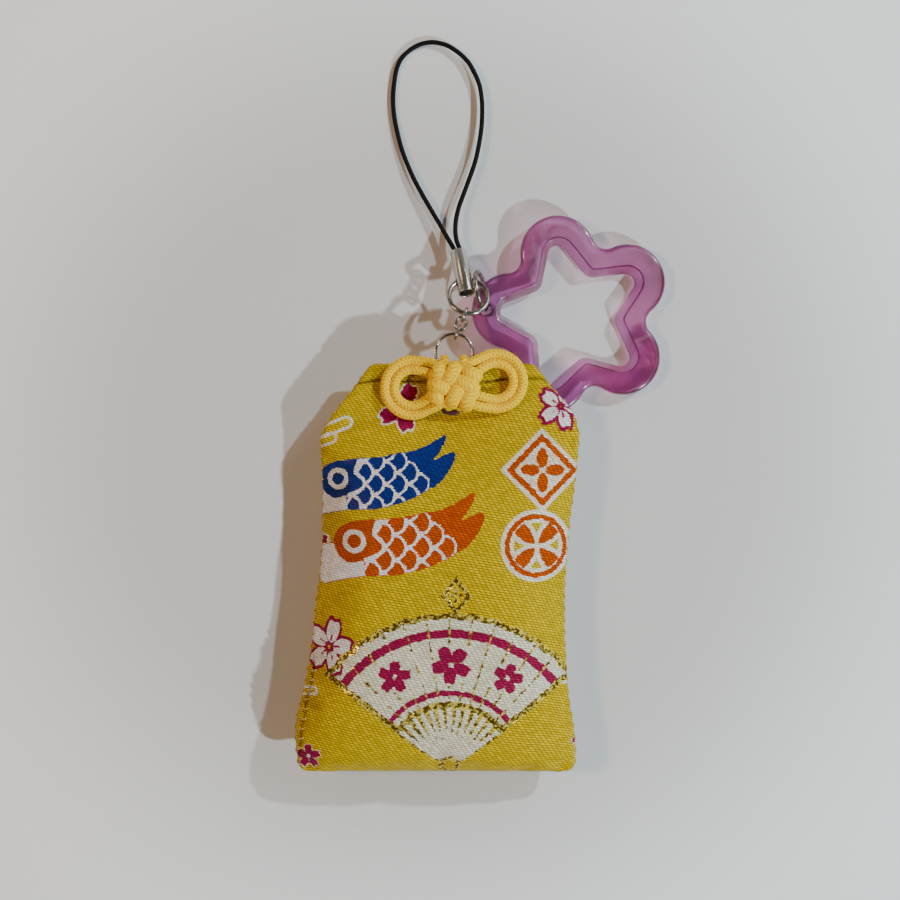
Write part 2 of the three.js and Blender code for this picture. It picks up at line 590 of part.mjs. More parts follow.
function starOutline() {
  // The fillet between two tips touches both tip circles and passes the valley point.
  const c = lobeCentre * Math.cos(fifth / 2);
  const gap = STAR_VALLEY ** 2 + lobeCentre ** 2 - 2 * STAR_VALLEY * c - STAR_LOBE ** 2;
  const fillet = gap / (2 * (STAR_LOBE - STAR_VALLEY + c));
  const outline = new THREE.Shape();
  for (let k = 0; k < 5; k++) {
    const axis = k * fifth;
    const lobe = onRay(lobeCentre, axis);
    const before = onRay(STAR_VALLEY + fillet, axis - fifth / 2).sub(lobe).angle();
    const valley = onRay(STAR_VALLEY + fillet, axis + fifth / 2);
    const after = valley.clone().sub(lobe).angle();
    const next = onRay(lobeCentre, axis + fifth).sub(valley).angle();
    outline.absarc(lobe.x, lobe.y, STAR_LOBE, before, after);
    outline.absarc(valley.x, valley.y, fillet, after + Math.PI, next, true);
  }
  return outline;
}

function starOpening() {
  // Straight edges touch the small circles at the tips and the ones at the valleys.
  const opening = new THREE.Path();
  const tipCentre = STAR_OPEN_TIP - STAR_OPEN_TIP_ROUND;
  const valleyCentre = STAR_OPEN_VALLEY + STAR_OPEN_VALLEY_ROUND;
  const span = onRay(valleyCentre, fifth / 2).sub(onRay(tipCentre, 0));
  const slope = span.angle() - Math.acos((STAR_OPEN_TIP_ROUND + STAR_OPEN_VALLEY_ROUND) / span.length());
  for (let k = 0; k < 5; k++) {
    const axis = k * fifth;
    const tip = onRay(tipCentre, axis);
    const valley = onRay(valleyCentre, axis + fifth / 2);
    const enter = axis + slope + Math.PI;
    const leave = axis + fifth - slope + Math.PI;
    opening.absarc(tip.x, tip.y, STAR_OPEN_TIP_ROUND, axis - slope, axis + slope);
    opening.absarc(valley.x, valley.y, STAR_OPEN_VALLEY_ROUND, enter, leave, true);
  }
  return opening;
}

function starGeometry() {
  const star = starOutline();
  const eye = new THREE.Path();
  const eyeAt = onRay(STAR_TIP - STAR_HOLE_FROM_TIP, 0);
  eye.absarc(eyeAt.x, eyeAt.y, STAR_HOLE, 0, 2 * Math.PI);
  star.holes.push(starOpening(), eye);
  const geometry = new THREE.ExtrudeGeometry(star, {
    depth: STAR_THICK - 2 * STAR_EDGE,
    bevelThickness: STAR_EDGE,
    bevelSize: STAR_EDGE,
    bevelOffset: -STAR_EDGE,
    bevelSegments: 1,
    curveSegments: 4,
  });
  return geometry.translate(0, 0, STAR_EDGE - STAR_THICK / 2);
}

// The charm's hole sits on the ring's side nearest the pouch, and its far tips rest on the surface.
const eyePoint = charmCentre.clone().addScaledVector(charmAlong, CHARM_RING_RADIUS);
eyePoint.z -= STAR_BELOW_RING;
const eyeToCentre = STAR_TIP - STAR_HOLE_FROM_TIP;
const starReach = eyeToCentre + lobeCentre * Math.cos(fifth / 2 - rad(STAR_TURN)) + STAR_LOBE;
const starTilt = Math.atan((eyePoint.z - STAR_THICK / 2 - TABLE_GAP) / starReach);
const starHang = new THREE.Group();
starHang.name = "star_pivot";
starHang.position.copy(eyePoint);
starHang.rotation.y = starTilt;
root.add(starHang);
const star = addMesh(starHang, "star_charm", starGeometry(), acrylic);
star.rotation.z = Math.PI - rad(STAR_TURN);
star.position.set(eyeToCentre * Math.cos(rad(STAR_TURN)), -eyeToCentre * Math.sin(rad(STAR_TURN)), 0);

export default root;
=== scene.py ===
# An amulet pouch on a phone strap: a padded brocade bag tied with a braided bow, a split ring and a short
# chain, a crimped strap loop, and an open star charm on its own ring. Sizes are in millimetres, and the
# frame is in metres.
import math

import bpy
import numpy as np
from mathutils import Matrix, Vector


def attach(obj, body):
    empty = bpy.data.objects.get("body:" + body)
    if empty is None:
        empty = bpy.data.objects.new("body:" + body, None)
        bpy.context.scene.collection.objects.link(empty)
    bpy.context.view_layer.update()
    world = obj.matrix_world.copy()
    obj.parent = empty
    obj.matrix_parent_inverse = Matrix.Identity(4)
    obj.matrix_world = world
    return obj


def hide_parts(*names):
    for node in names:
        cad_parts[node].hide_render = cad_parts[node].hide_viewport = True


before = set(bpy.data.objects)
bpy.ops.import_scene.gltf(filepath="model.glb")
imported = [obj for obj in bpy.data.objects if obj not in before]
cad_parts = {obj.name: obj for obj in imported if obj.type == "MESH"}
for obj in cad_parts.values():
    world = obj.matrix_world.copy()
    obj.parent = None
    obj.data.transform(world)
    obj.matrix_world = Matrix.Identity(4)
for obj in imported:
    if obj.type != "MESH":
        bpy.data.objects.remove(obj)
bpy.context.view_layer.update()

# Camera. A phone held level over the table: it looks straight down from about 320 mm above the bag,
# and its frame takes in 161 mm of the table each way.
MM = 0.001
HEIGHT, REACH, SEEN_WIDTH, SENSOR = 326, 320, 160.7, 36
bpy.ops.object.camera_add(location=(0.71 * MM, 23.2 * MM, HEIGHT * MM), rotation=(0, 0, 0))
camera = bpy.context.object
camera.data.sensor_width = SENSOR
camera.data.lens = SENSOR * REACH / SEEN_WIDTH
camera.data.clip_start = 10 * MM
bpy.context.scene.camera = camera


# Table top. A white melamine board, pressed smooth with a faint grain; its colour is painted greyer round the
# object and paler towards its ends, as a painted fall of light.
def linear(code):
    """An sRGB hex colour as linear red, green, blue and alpha."""
    parts = [int(code[i : i + 2], 16) / 255 for i in (1, 3, 5)]
    return [v / 12.92 if v <= 0.04045 else ((v + 0.055) / 1.055) ** 2.4 for v in parts] + [1]


def feed(material, node, inputs):
    """Set a shader node's inputs, as values or as links from other nodes' outputs."""
    for socket, value in inputs.items():
        if isinstance(value, bpy.types.NodeSocket):
            material.node_tree.links.new(value, node.inputs[socket])
        else:
            node.inputs[socket].default_value = value


def add(material, kind, inputs, output=0, **settings):
    """One output of a new shader node with these inputs and settings."""
    node = material.node_tree.nodes.new("ShaderNode" + kind)
    for name, value in settings.items():
        setattr(node, name, value)
    feed(material, node, inputs)
    return node.outputs[output]


def blend(material, share, low, high, **settings):
    """A mix of two colours, each given as a hex code or as another node's output."""
    low, high = (linear(colour) if isinstance(colour, str) else colour for colour in (low, high))
    return add(material, "Mix", {0: share, 6: low, 7: high}, 2, data_type="RGBA", **settings)


def ramp(material, value, start, end, low=0, high=1, **settings):
    """A value that goes from low to high while another goes from start to end."""
    return add(material, "MapRange", {0: value, 1: start, 2: end, 3: low, 4: high}, **settings)


def speckle(material, size, detail, output="Fac"):
    """Noise in the piece's own space, with spots of about this size in millimetres."""
    place = add(material, "TexCoord", {}, "Object")
    return add(material, "TexNoise", {"Vector": place, "Scale": 1 / (size * MM), "Detail": detail}, output)


def drive(material, inputs):
    """Set inputs of the material's Principled shader."""
    feed(material, material.node_tree.nodes["Principled BSDF"], inputs)


def new_material(name, inputs):
    """A material of one Principled shader with these fixed inputs."""
    material = bpy.data.materials.new(name)
    material.use_nodes = True
    drive(material, inputs)
    return material


melamine = new_material("white_melamine", {"Roughness": 0.5, "Specular IOR Level": 0.3})
place = add(melamine, "TexCoord", {}, "Object")
centred = add(melamine, "VectorMath", {0: place, 1: (0, -0.023, 0)}, operation="ADD")
reach = add(melamine, "VectorMath", {0: centred}, "Value", operation="LENGTH")
# Painted light: the board's colour grows paler away from the object.
paler_away_painted_light = ramp(melamine, reach, 0.05, 0.105, interpolation_type="SMOOTHSTEP")
board = blend(melamine, paler_away_painted_light, "#CFCDCB", "#F6F6F5")
grain = speckle(melamine, 2.5, 3, "Color")
drive(melamine, {"Base Color": blend(melamine, 0.04, board, grain, blend_type="OVERLAY")})
bpy.ops.mesh.primitive_plane_add(size=2.4, location=(0, 0, -0.03 * MM))
table_top = bpy.context.object
table_top.name = "table_top"
bpy.ops.object.transform_apply(location=True)
table_top.data.materials.append(melamine)

# Room light. Two white lamps at the right, one nearer the strap and one nearer the bag, throw brownish
# shadows to the left; a warmer lamp at the left throws a faint bluish one to the right. Two weak lamps glint
# in the metal, and a pale pane overhead shows in the star's flat top. Walls are pale and the ceiling dark.
LAMP_DISTANCE, LIT_MIDDLE = 0.75, Vector((0, 0.015, 0))
for name, azimuth, elevation, width, watts, colour in (
    ("lamp_right_far", 36, 38, 26, 3.6, "#E3F4FF"),
    ("lamp_right_near", -38, 38, 26, 5.0, "#E3F4FF"),
    ("lamp_left", 172, 50, 140, 2.1, "#FFD0A4"),
    ("glint_right", 50, 27, 150, 0.45, "#FFFFFF"),
    ("glint_left", 128, 28, 150, 0.33, "#FFDFA0"),
    ("pane", 31, 73, 84, 0.028, "#FFFFFF"),
):
    turn, rise = math.radians(azimuth), math.radians(elevation)
    aim = Vector((math.cos(turn) * math.cos(rise), math.sin(turn) * math.cos(rise), math.sin(rise)))
    bpy.ops.object.light_add(type="AREA", location=aim * LAMP_DISTANCE + LIT_MIDDLE)
    lamp = bpy.context.object
    lamp.name = name
    lamp.rotation_euler = aim.to_track_quat("Z", "Y").to_euler()
    lamp.data.shape = "DISK"
    lamp.data.size = width * MM
    lamp.data.energy = watts
    lamp.data.color = linear(colour)[:3]
room = bpy.data.worlds.new("room")
bpy.context.scene.world = room
room.use_nodes = True
towards = add(room, "TexCoord", {}, "Generated")
upward = add(room, "SeparateXYZ", {0: towards}, 2)
ceiling = ramp(room, upward, 0.0, 0.85, 0.38, 0.05, interpolation_type="SMOOTHSTEP")
feed(room, room.node_tree.nodes["Background"], {"Color": linear("#F2EEE8"), "Strength": ceiling})


# Prayer slip. A plain card folded in paper, shut inside the bag between the pads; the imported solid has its
# shape already, and here it gets the pulp of its paper.
def bump(material, height, strength, depth):
    """Fine relief in the light alone, of this depth in millimetres."""
    return add(material, "Bump", {"Height": height, "Strength": strength, "Distance": depth * MM})


def cover(piece, material):
    """Give a piece one material in place of what it has."""
    piece.data.materials.clear()
    piece.data.materials.append(material)


paper = new_material("folded_kraft_paper", {"Roughness": 0.85})
pulp = speckle(paper, 0.8, 6)
drive(paper, {"Base Color": blend(paper, pulp, "#D9CDB4", "#F0E8D6"), "Normal": bump(paper, pulp, 0.3, 0.05)})
cover(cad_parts["prayer_slip"], paper)


# Wadding. Two pads of loose polyester fibre on either side of the slip; each packed pad is copied, remeshed,
# smoothed and given the lumps of hand-laid filling.
def pick_up(piece):
    """Make a piece the active one and the only one selected."""
    bpy.ops.object.select_all(action="DESELECT")
    piece.select_set(True)
    bpy.context.view_layer.objects.active = piece


batting = new_material("polyester_wadding", {"Roughness": 0.95, "Sheen Weight": 0.4})
tuft = speckle(batting, 1.5, 5)
fibre = blend(batting, tuft, "#E2DFD8", "#FBFAF7")
drive(batting, {"Base Color": fibre, "Normal": bump(batting, tuft, 0.8, 0.4)})
lumps = bpy.data.textures.new("lumps", "CLOUDS")
lumps.noise_scale = 7 * MM
for node in ("wadding_front", "wadding_back"):
    pad = bpy.data.objects.new(node + "_pad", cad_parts[node].data.copy())
    bpy.context.collection.objects.link(pad)
    pick_up(pad)
    bpy.ops.object.mode_set(mode="EDIT")
    bpy.ops.mesh.select_all(action="SELECT")
    bpy.ops.mesh.remove_doubles(threshold=0.001 * MM)
    bpy.ops.object.mode_set(mode="OBJECT")
    pad.data.remesh_voxel_size = 0.8 * MM
    bpy.ops.object.voxel_remesh()
    rounded = pad.modifiers.new("rounded", "SMOOTH")
    rounded.iterations = 8
    bpy.ops.object.modifier_apply(modifier=rounded.name)
    lumpy = pad.modifiers.new("lumpy", "DISPLACE")
    lumpy.texture = lumps
    lumpy.texture_coords = "LOCAL"
    lumpy.strength = 0.5 * MM
    lumpy.mid_level = 0.9
    bpy.ops.object.modifier_apply(modifier=lumpy.name)
    bpy.ops.object.shade_smooth()
    cover(pad, batting)
    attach(pad, "pouch")
    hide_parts(node)

# Bag. One strip of polyester brocade, folded at the bottom, seamed at both sides, turned right side out,
# stuffed and hemmed at the neck, whose corners are folded in. The sides follow the measured outline, each row
# of EDGES being a height with its left and right ends.
EDGES = np.array(
    [
        (-34.0, -26.1, 22.9), (-30.0, -26.6, 23.0), (-25.7, -26.7, 22.7), (-21.4, -25.9, 22.0),
        (-17.1, -24.9, 21.6), (-10.7, -23.9, 21.25), (-6.4, -23.5, 21.2), (-2.1, -23.0, 21.2),
        (2.1, -22.4, 21.4), (6.4, -22.1, 21.7), (10.7, -22.0, 22.1), (15.0, -22.0, 22.7),
        (19.3, -22.1, 23.2), (23.6, -22.3, 23.55), (25.7, -22.2, 23.7), (27.9, -21.2, 23.3),
        (30.0, -19.8, 22.5), (32.1, -18.2, 20.9), (34.3, -16.4, 18.9), (36.4, -14.9, 17.3),
        (38.6, -13.4, 15.7),
    ]
)
SEAM_Z, CLOTH, FOLD_Y, MOUTH_Y, HEM_Y = 6.8, 0.725, -34.0, 38.6, 35.6


def lengths(points):
    """How far along a run of points each of them lies."""
    return np.r_[0, np.cumsum(np.linalg.norm(np.diff(points, axis=0), axis=1))]


def smooth_run(points, step):
    """Points at even steps along a smooth curve through the given ones."""
    p = np.asarray(points, float)
    p = np.vstack([2 * p[0] - p[1], p, 2 * p[-1] - p[-2]])
    t = np.linspace(0, 1, 24, endpoint=False)[:, None]
    parts = [
        0.5 * (2 * b + (c - a) * t + (2 * a - 5 * b + 4 * c - d) * t**2 + (3 * b - a - 3 * c + d) * t**3)
        for a, b, c, d in zip(p, p[1:], p[2:], p[3:])
    ]
    fine = np.vstack(parts + [p[-2:-1]])
    length = lengths(fine)
    even = np.linspace(0, length[-1], max(2, round(length[-1] / step) + 1))
    return np.column_stack([np.interp(even, length, fine[:, k]) for k in range(p.shape[1])])


edge_run = smooth_run(EDGES, 0.4)


def corner(radius, distance):
    """How far a rounded corner draws a side in, at this distance from its end."""
    return radius - np.sqrt(np.clip(radius**2 - np.clip(radius - distance, 0, radius) ** 2, 0, None))


def panel(rows, columns, side):
    """One face of the bag on a grid of rows by columns: side 1 is the front and -1 the back."""
    fold, straight, lip = 12.5, 62.0, 1.1
    fold_rise, lip_rise, edge_round = 10, 0.6, 0.7
    fold_corner, lip_corner = 1.6, 0.9
    front_swell, back_swell = 5.3, 6.575
    neck_start, neck_slope = 12, 17.5
    run = np.linspace(0, fold + straight + lip, rows + 1)
    bottom = FOLD_Y + fold_rise * (1 - np.cos(np.clip(run / fold, 0, 1) * math.pi / 2))
    top = MOUTH_Y - lip_rise + lip_rise * np.sin(np.clip((run - fold - straight) / lip, 0, 1) * math.pi / 2)
    level = run - fold + (FOLD_Y + fold_rise)
    y = np.where(run < fold, bottom, np.where(run > fold + straight, top, level))[:, None]
    even = np.linspace(-1, 1, columns + 1)[None, :]
    s = 0.55 * even + 0.45 * np.sin(even * math.pi / 2)
    drawn = corner(fold_corner, y - FOLD_Y) + corner(lip_corner, MOUTH_Y - y)
    left = np.interp(y, edge_run[:, 0], edge_run[:, 1]) + drawn
    right = np.interp(y, edge_run[:, 0], edge_run[:, 2]) - drawn
    x = (left + right) / 2 + s * (right - left) / 2
    y = y + 0 * s
    share = np.clip((y - neck_start) / neck_slope, 0, 1)
    neck = share * share * (3 - 2 * share)
    rise = 1 - np.clip((y - FOLD_Y) / fold_rise, 0, 1)
    swell = (1 - np.abs(s) ** 3) ** 0.75 * np.sqrt(1 - rise**2) * (1 - neck)
    ends = np.sqrt(1 - (1 - np.clip(np.minimum(y - FOLD_Y, MOUTH_Y - y) / edge_round, 0, 1)) ** 2)
    cloth = CLOTH * ends * np.sqrt(1 - np.abs(s) ** 24)
    if side < 0:
        return np.dstack([x, y, np.maximum(0.0, SEAM_Z - cloth - back_swell * swell)])
    return np.dstack([x, y, SEAM_Z + cloth + front_swell * swell])


def sew(front, back):
    """Join the faces into one closed mesh; the back has half as many columns as the front."""
    rows, columns = front.shape[0] - 1, front.shape[1] - 1
    half = columns // 2
    f = np.arange((rows + 1) * (columns + 1)).reshape(rows + 1, columns + 1)
    b = np.empty((rows + 1, half + 1), int)
    b[0], b[-1], b[:, 0], b[:, -1] = f[0, ::2], f[-1, ::2], f[:, 0], f[:, -1]
    b[1:-1, 1:-1] = f.size + np.arange((rows - 1) * (half - 1)).reshape(rows - 1, half - 1)
    points = np.vstack([front.reshape(-1, 3), back[1:-1, 1:-1].reshape(-1, 3)])
    quads = np.stack([f[:-1, :-1], f[:-1, 1:], f[1:, 1:], f[1:, :-1]], -1).reshape(-1, 4).tolist()
    under = [
        [b[r, k + 1], *([f[0, 2 * k + 1]] if r == 0 else []), b[r, k], b[r + 1, k]]
        + ([f[rows, 2 * k + 1]] if r == rows - 1 else [])
        + [b[r + 1, k + 1]]
        for r in range(rows)
        for k in range(half)
    ]
    return points, quads, under, b


def new_piece(name, points, faces, material):
    """A smooth mesh piece at the origin, from points in millimetres."""
    mesh = bpy.data.meshes.new(name)
    mesh.from_pydata((np.asarray(points) * MM).tolist(), [], faces)
    mesh.shade_smooth()
    mesh.materials.append(material)
    piece = bpy.data.objects.new(name, mesh)
    bpy.context.collection.objects.link(piece)
    return piece


def spread(grid, rows, columns):
    """A coarse grid of moves drawn out over a finer one by cubic splines."""
    for axis, count in ((0, rows + 1), (1, columns + 1)):
        size = grid.shape[axis]
        at = np.linspace(0, size - 1, count)
        low = np.floor(at).astype(int)
        t = at - low
        weights = ((1 - t) ** 3, 3 * t**3 - 6 * t**2 + 4, -3 * t**3 + 3 * t**2 + 3 * t + 1, t**3)
        shape = [-1 if k == axis else 1 for k in range(3)]
        grid = sum(
            np.take(grid, np.clip(low + k - 1, 0, size - 1), axis) * (w / 6).reshape(shape)
            for k, w in enumerate(weights)
        )
    return grid


def blown_up(rows, columns):
    """Moves of the two faces when the sewn bag is filled: cloth under pressure, held at seams and hem."""
    large, steps, neck_y = 20, 22, HEM_Y - 6
    front, back = panel(rows, columns, 1), panel(rows, columns // 2, -1)
    points, quads, under, b = sew(front, back)
    stuffed = new_piece("stuffed_bag", points * large, quads + under, batting)
    held = front[:, :, 1] > neck_y
    held[:, [0, -1]] = held[[0, -1]] = True
    neck_back = b[1:-1, 1:-1][back[1:-1, 1:-1, 1] > neck_y]
    seams = stuffed.vertex_groups.new(name="seams")
    seams.add(np.flatnonzero(held).tolist() + neck_back.tolist(), 1.0, "REPLACE")
    cloth = stuffed.modifiers.new("cloth", "CLOTH").settings
    cloth.quality = 8
    cloth.mass = 0.25
    cloth.tension_stiffness = cloth.compression_stiffness = 25
    cloth.shear_stiffness = 8
    cloth.bending_stiffness = 0.4
    cloth.air_damping = 2
    cloth.use_pressure = True
    cloth.uniform_pressure_force = 2.5
    cloth.shrink_min = -0.035
    cloth.vertex_group_mass = "seams"
    cloth.effector_weights.gravity = 0
    scene = bpy.context.scene
    for step in range(1, steps + 1):
        scene.frame_set(step)
    result = stuffed.evaluated_get(bpy.context.evaluated_depsgraph_get()).data
    settled = np.empty(len(points) * 3, np.float32)
    result.vertices.foreach_get("co", settled)
    scene.frame_set(1)
    move = settled.reshape(-1, 3) / MM / large - points
    bpy.data.objects.remove(stuffed)
    size = np.linalg.norm(move, axis=1, keepdims=True)
    move *= np.tanh(size) / np.maximum(size, 1e-9)
    return move[: front.shape[0] * front.shape[1]].reshape(front.shape), move[b]


ROWS, COLUMNS = 304, 184
front = panel(ROWS, COLUMNS, 1)
back = panel(ROWS, COLUMNS // 2, -1)
front_move, back_move = blown_up(64, 40)
front += spread(front_move, ROWS, COLUMNS)
back += spread(back_move, ROWS, COLUMNS // 2)
back[:, 0], back[:, -1] = front[:, 0], front[:, -1]
back[:, :, 2] = np.maximum(back[:, :, 2], 0.0)


def hem_at(px):
    """Where the crease of the hem runs across the neck."""
    return np.interp(
        px,
        [-18, -15.6, -11.6, -6.3, 7.1, 9.9, 14.6, 16.9, 17.8],
        [34.8, 35.1, 35.66, 35.35, 35.3, 35.7, 35.94, 35.94, 35.5],
    )


def seam_at(py):
    """Where the crease of the left seam runs beside the bottom corner."""
    return np.interp(py, [-31, -29.2, -25.5, -20.3, -15.5, -9], [-25.9, -25.7, -25.4, -24.4, -23.3, -23.6])


HEM_DEPTH, SEAM_DEPTH, KNOT_DENT = 0.55, 0.45, 0.55
HEM_WIDTH, SEAM_WIDTH = 0.25, 0.3
x, y = front[:, :, 0], front[:, :, 1]
hem_fold = np.exp(-(((y - hem_at(x)) / HEM_WIDTH) ** 2))
seam_share = np.clip((y + 31.5) / 2, 0, 1) * np.clip((-11 - y) / 4, 0, 1)
seam_fold = seam_share * np.exp(-(((x - seam_at(y)) / SEAM_WIDTH) ** 2))
under_knot = np.exp(-(((x - 1.2) / 4.5) ** 2) - ((y - 28.4) / 2.6) ** 2)
front[:, :, 2] -= HEM_DEPTH * hem_fold + SEAM_DEPTH * seam_fold + KNOT_DENT * under_knot
points, quads, under, b = sew(front, back)


# The woven figures are signed distances in millimetres on the cloth, negative inside a figure.
def stroke(points, x, y):
    """Distance to an open line of straight runs."""
    near = np.inf
    for (ax, ay), (bx, by) in zip(points, points[1:]):
        ex, ey = bx - ax, by - ay
        t = np.clip(((x - ax) * ex + (y - ay) * ey) / (ex * ex + ey * ey + 1e-12), 0, 1)
        near = np.minimum(near, np.hypot(x - ax - t * ex, y - ay - t * ey))
    return near


def outline(points, x, y):
    """Distance to a closed outline of straight runs."""
    p = np.vstack([points, points[:1]])
    within = np.zeros(x.shape, bool)
    for (ax, ay), (bx, by) in zip(p, p[1:]):
        within ^= ((ay > y) != (by > y)) & (x < (bx - ax) * (y - ay) / (by - ay + 1e-12) + ax)
    return np.where(within, -1, 1) * stroke(p, x, y)


def ellipse(u, v, a, b):
    """Nearly the distance to an ellipse of half axes a and b."""
    k = np.sqrt((u / a) ** 2 + (v / b) ** 2)
    return k * (k - 1) / np.sqrt((u / a**2) ** 2 + (v / b**2) ** 2 + 1e-9)


def blossom(x, y, radius, turn):
    """Distance to five notched petals, and to the fine lines from their middle."""
    petals = lines = np.inf
    for k in range(5):
        angle = math.radians(turn + 72 * k)
        u = x * math.cos(angle) + y * math.sin(angle)
        v = y * math.cos(angle) - x * math.sin(angle)
        petal = np.maximum(
            ellipse(u - 0.57 * radius, v, 0.46 * radius, 0.3 * radius),
            0.18 * radius - np.hypot(u - 1.07 * radius, 0.9 * v),
        )
        petals = np.minimum(petals, petal)
        reach = np.clip(u, 0.1 * radius, 0.42 * radius)
        lines = np.minimum(lines, np.hypot(u - reach, v))
    return petals, lines


FAR, EYE_X, EYE_Y = 9.0, 19.07, 18.15


def carp(x, y):
    """A carp streamer with its head at the left: its outline, and the white lines and belly."""
    body_points = (
        (-22.5, 18.4), (-21.7, 20.1), (-19.6, 21.2), (-16.6, 21.6), (-12.5, 21.9), (-8.5, 22.6), (-5.3, 23.2),
        (-2.8, 24.3), (-0.3, 25.8), (-0.2, 24.6), (-1.2, 22.8), (-2.2, 21.4), (-0.6, 22.2), (1.3, 22.8),
        (1.5, 21.6), (0.4, 19.3), (-1.2, 17.4), (-2.9, 16.3), (-5.5, 14.9), (-8.7, 13.7), (-12.5, 12.9),
        (-17.6, 12.6), (-21.6, 11.9), (-24.7, 11.6), (-24.7, 16.6), (-23.7, 17.7), (-22.6, 17.8),
    )
    head_points = (
        (-15.4, 22.0), (-15.8, 20.6), (-16.1, 19.3), (-15.3, 18.5), (-14.5, 17.6), (-14.7, 16.7),
        (-16.0, 16.0), (-17.5, 15.3), (-19.4, 14.7), (-20.9, 15.2), (-22.0, 16.5), (-22.5, 18.0),
        (-22.6, 20.5), (-19.0, 23.5), (-15.4, 22.0),
    )
    scale_long, scale_high, scale_radius = 3.98, 1.98, 2.14
    body = outline(smooth_run(body_points, 0.5), x, y)
    head = outline(smooth_run(head_points, 0.4), x, y)
    belly = np.maximum(x + 17.3 + 0.15 * (y - 13), -head)
    scales = FAR
    middles = [
        (-12.75 + scale_long * (i + 0.5 * (j % 2)), 17.25 + scale_high * j, j)
        for i in range(-3, 3)
        for j in range(-3, 4)
    ]
    for mx, my, j in sorted(middles, reverse=True):
        if mx < -4.5 - 0.9 * max(0, j):
            edge = scale_radius - np.hypot(x - mx, y - my)
            scales = np.where(edge > 0, edge, scales)
    scales = np.where(head > 0, scales - 0.5, FAR)
    cheek = np.maximum(np.abs(head - 0.2) - 0.3, -x - 17.5)
    eye = np.abs(np.hypot(x + EYE_X, y - EYE_Y) - 1.5) - 0.41
    return body, np.maximum(np.minimum.reduce([scales, cheek, eye, belly]), body + 0.1)


FAN_X, FAN_Y = 0.6, -32.4


def folding_fan(x, y):
    """A spread fan: its leaf, the gilt lines, and the coloured bands on the leaf."""
    u, v = x - FAN_X, y - FAN_Y
    radius, angle = np.hypot(u, v), np.arctan2(u, v)
    opening, folds, leaf_end, leaf_start = math.radians(53), 12, 26.4, 11.2
    fold = angle / opening * folds / 2
    zigzag = np.abs(fold - np.floor(fold) - 0.5)
    flank = (np.abs(angle) - opening) * radius
    leaf = np.maximum.reduce([radius - leaf_end - 0.9 * zigzag, leaf_start - radius, flank])
    crease = np.abs(fold - np.round(fold)) * (2 * opening / folds) * radius
    sticks = np.maximum.reduce([crease - 0.55, radius - 11.6, 1.2 - radius, flank - 0.5])
    gilt = np.minimum.reduce(
        [
            np.abs(leaf) - 0.5,
            np.maximum(crease - 0.16, leaf),
            np.abs(radius - 1.5) - 0.4,
            np.maximum(np.abs(sticks) - 0.16, 1.6 - radius),
        ]
    )
    bands = np.minimum(np.abs(radius - 23.6) - 0.75, np.abs(radius - 13.2) - 0.5)
    return np.minimum(leaf, sticks), gilt, np.maximum(bands, leaf + 0.35)


def diamond_flower(x, y, size):
    """Four petals in a diamond frame."""
    frame_line = np.abs((np.abs(x) + np.abs(y)) / math.sqrt(2) - 0.68 * size) - 0.085 * size
    petals = np.inf
    for a, b in ((x, y), (y, x)):
        petals = np.minimum(petals, ellipse(np.abs(a) - 0.37 * size, b, 0.29 * size, 0.17 * size))
    petals = np.maximum(petals, 0.09 * size - np.hypot(x, y))
    return np.minimum(petals, frame_line)


def linked_rings(x, y, size):
    """A ring with four leaf shapes, as where five rings of one size overlap."""
    beside = np.hypot(np.abs(x) - size, y) - size
    above = np.hypot(x, np.abs(y) - size) - size
    whole = np.hypot(x, y) - size
    leaves = np.maximum(np.maximum(beside, above) + 0.06 * size, whole + 0.13 * size)
    return np.minimum(leaves, np.abs(whole + 0.02) - 0.085 * size)


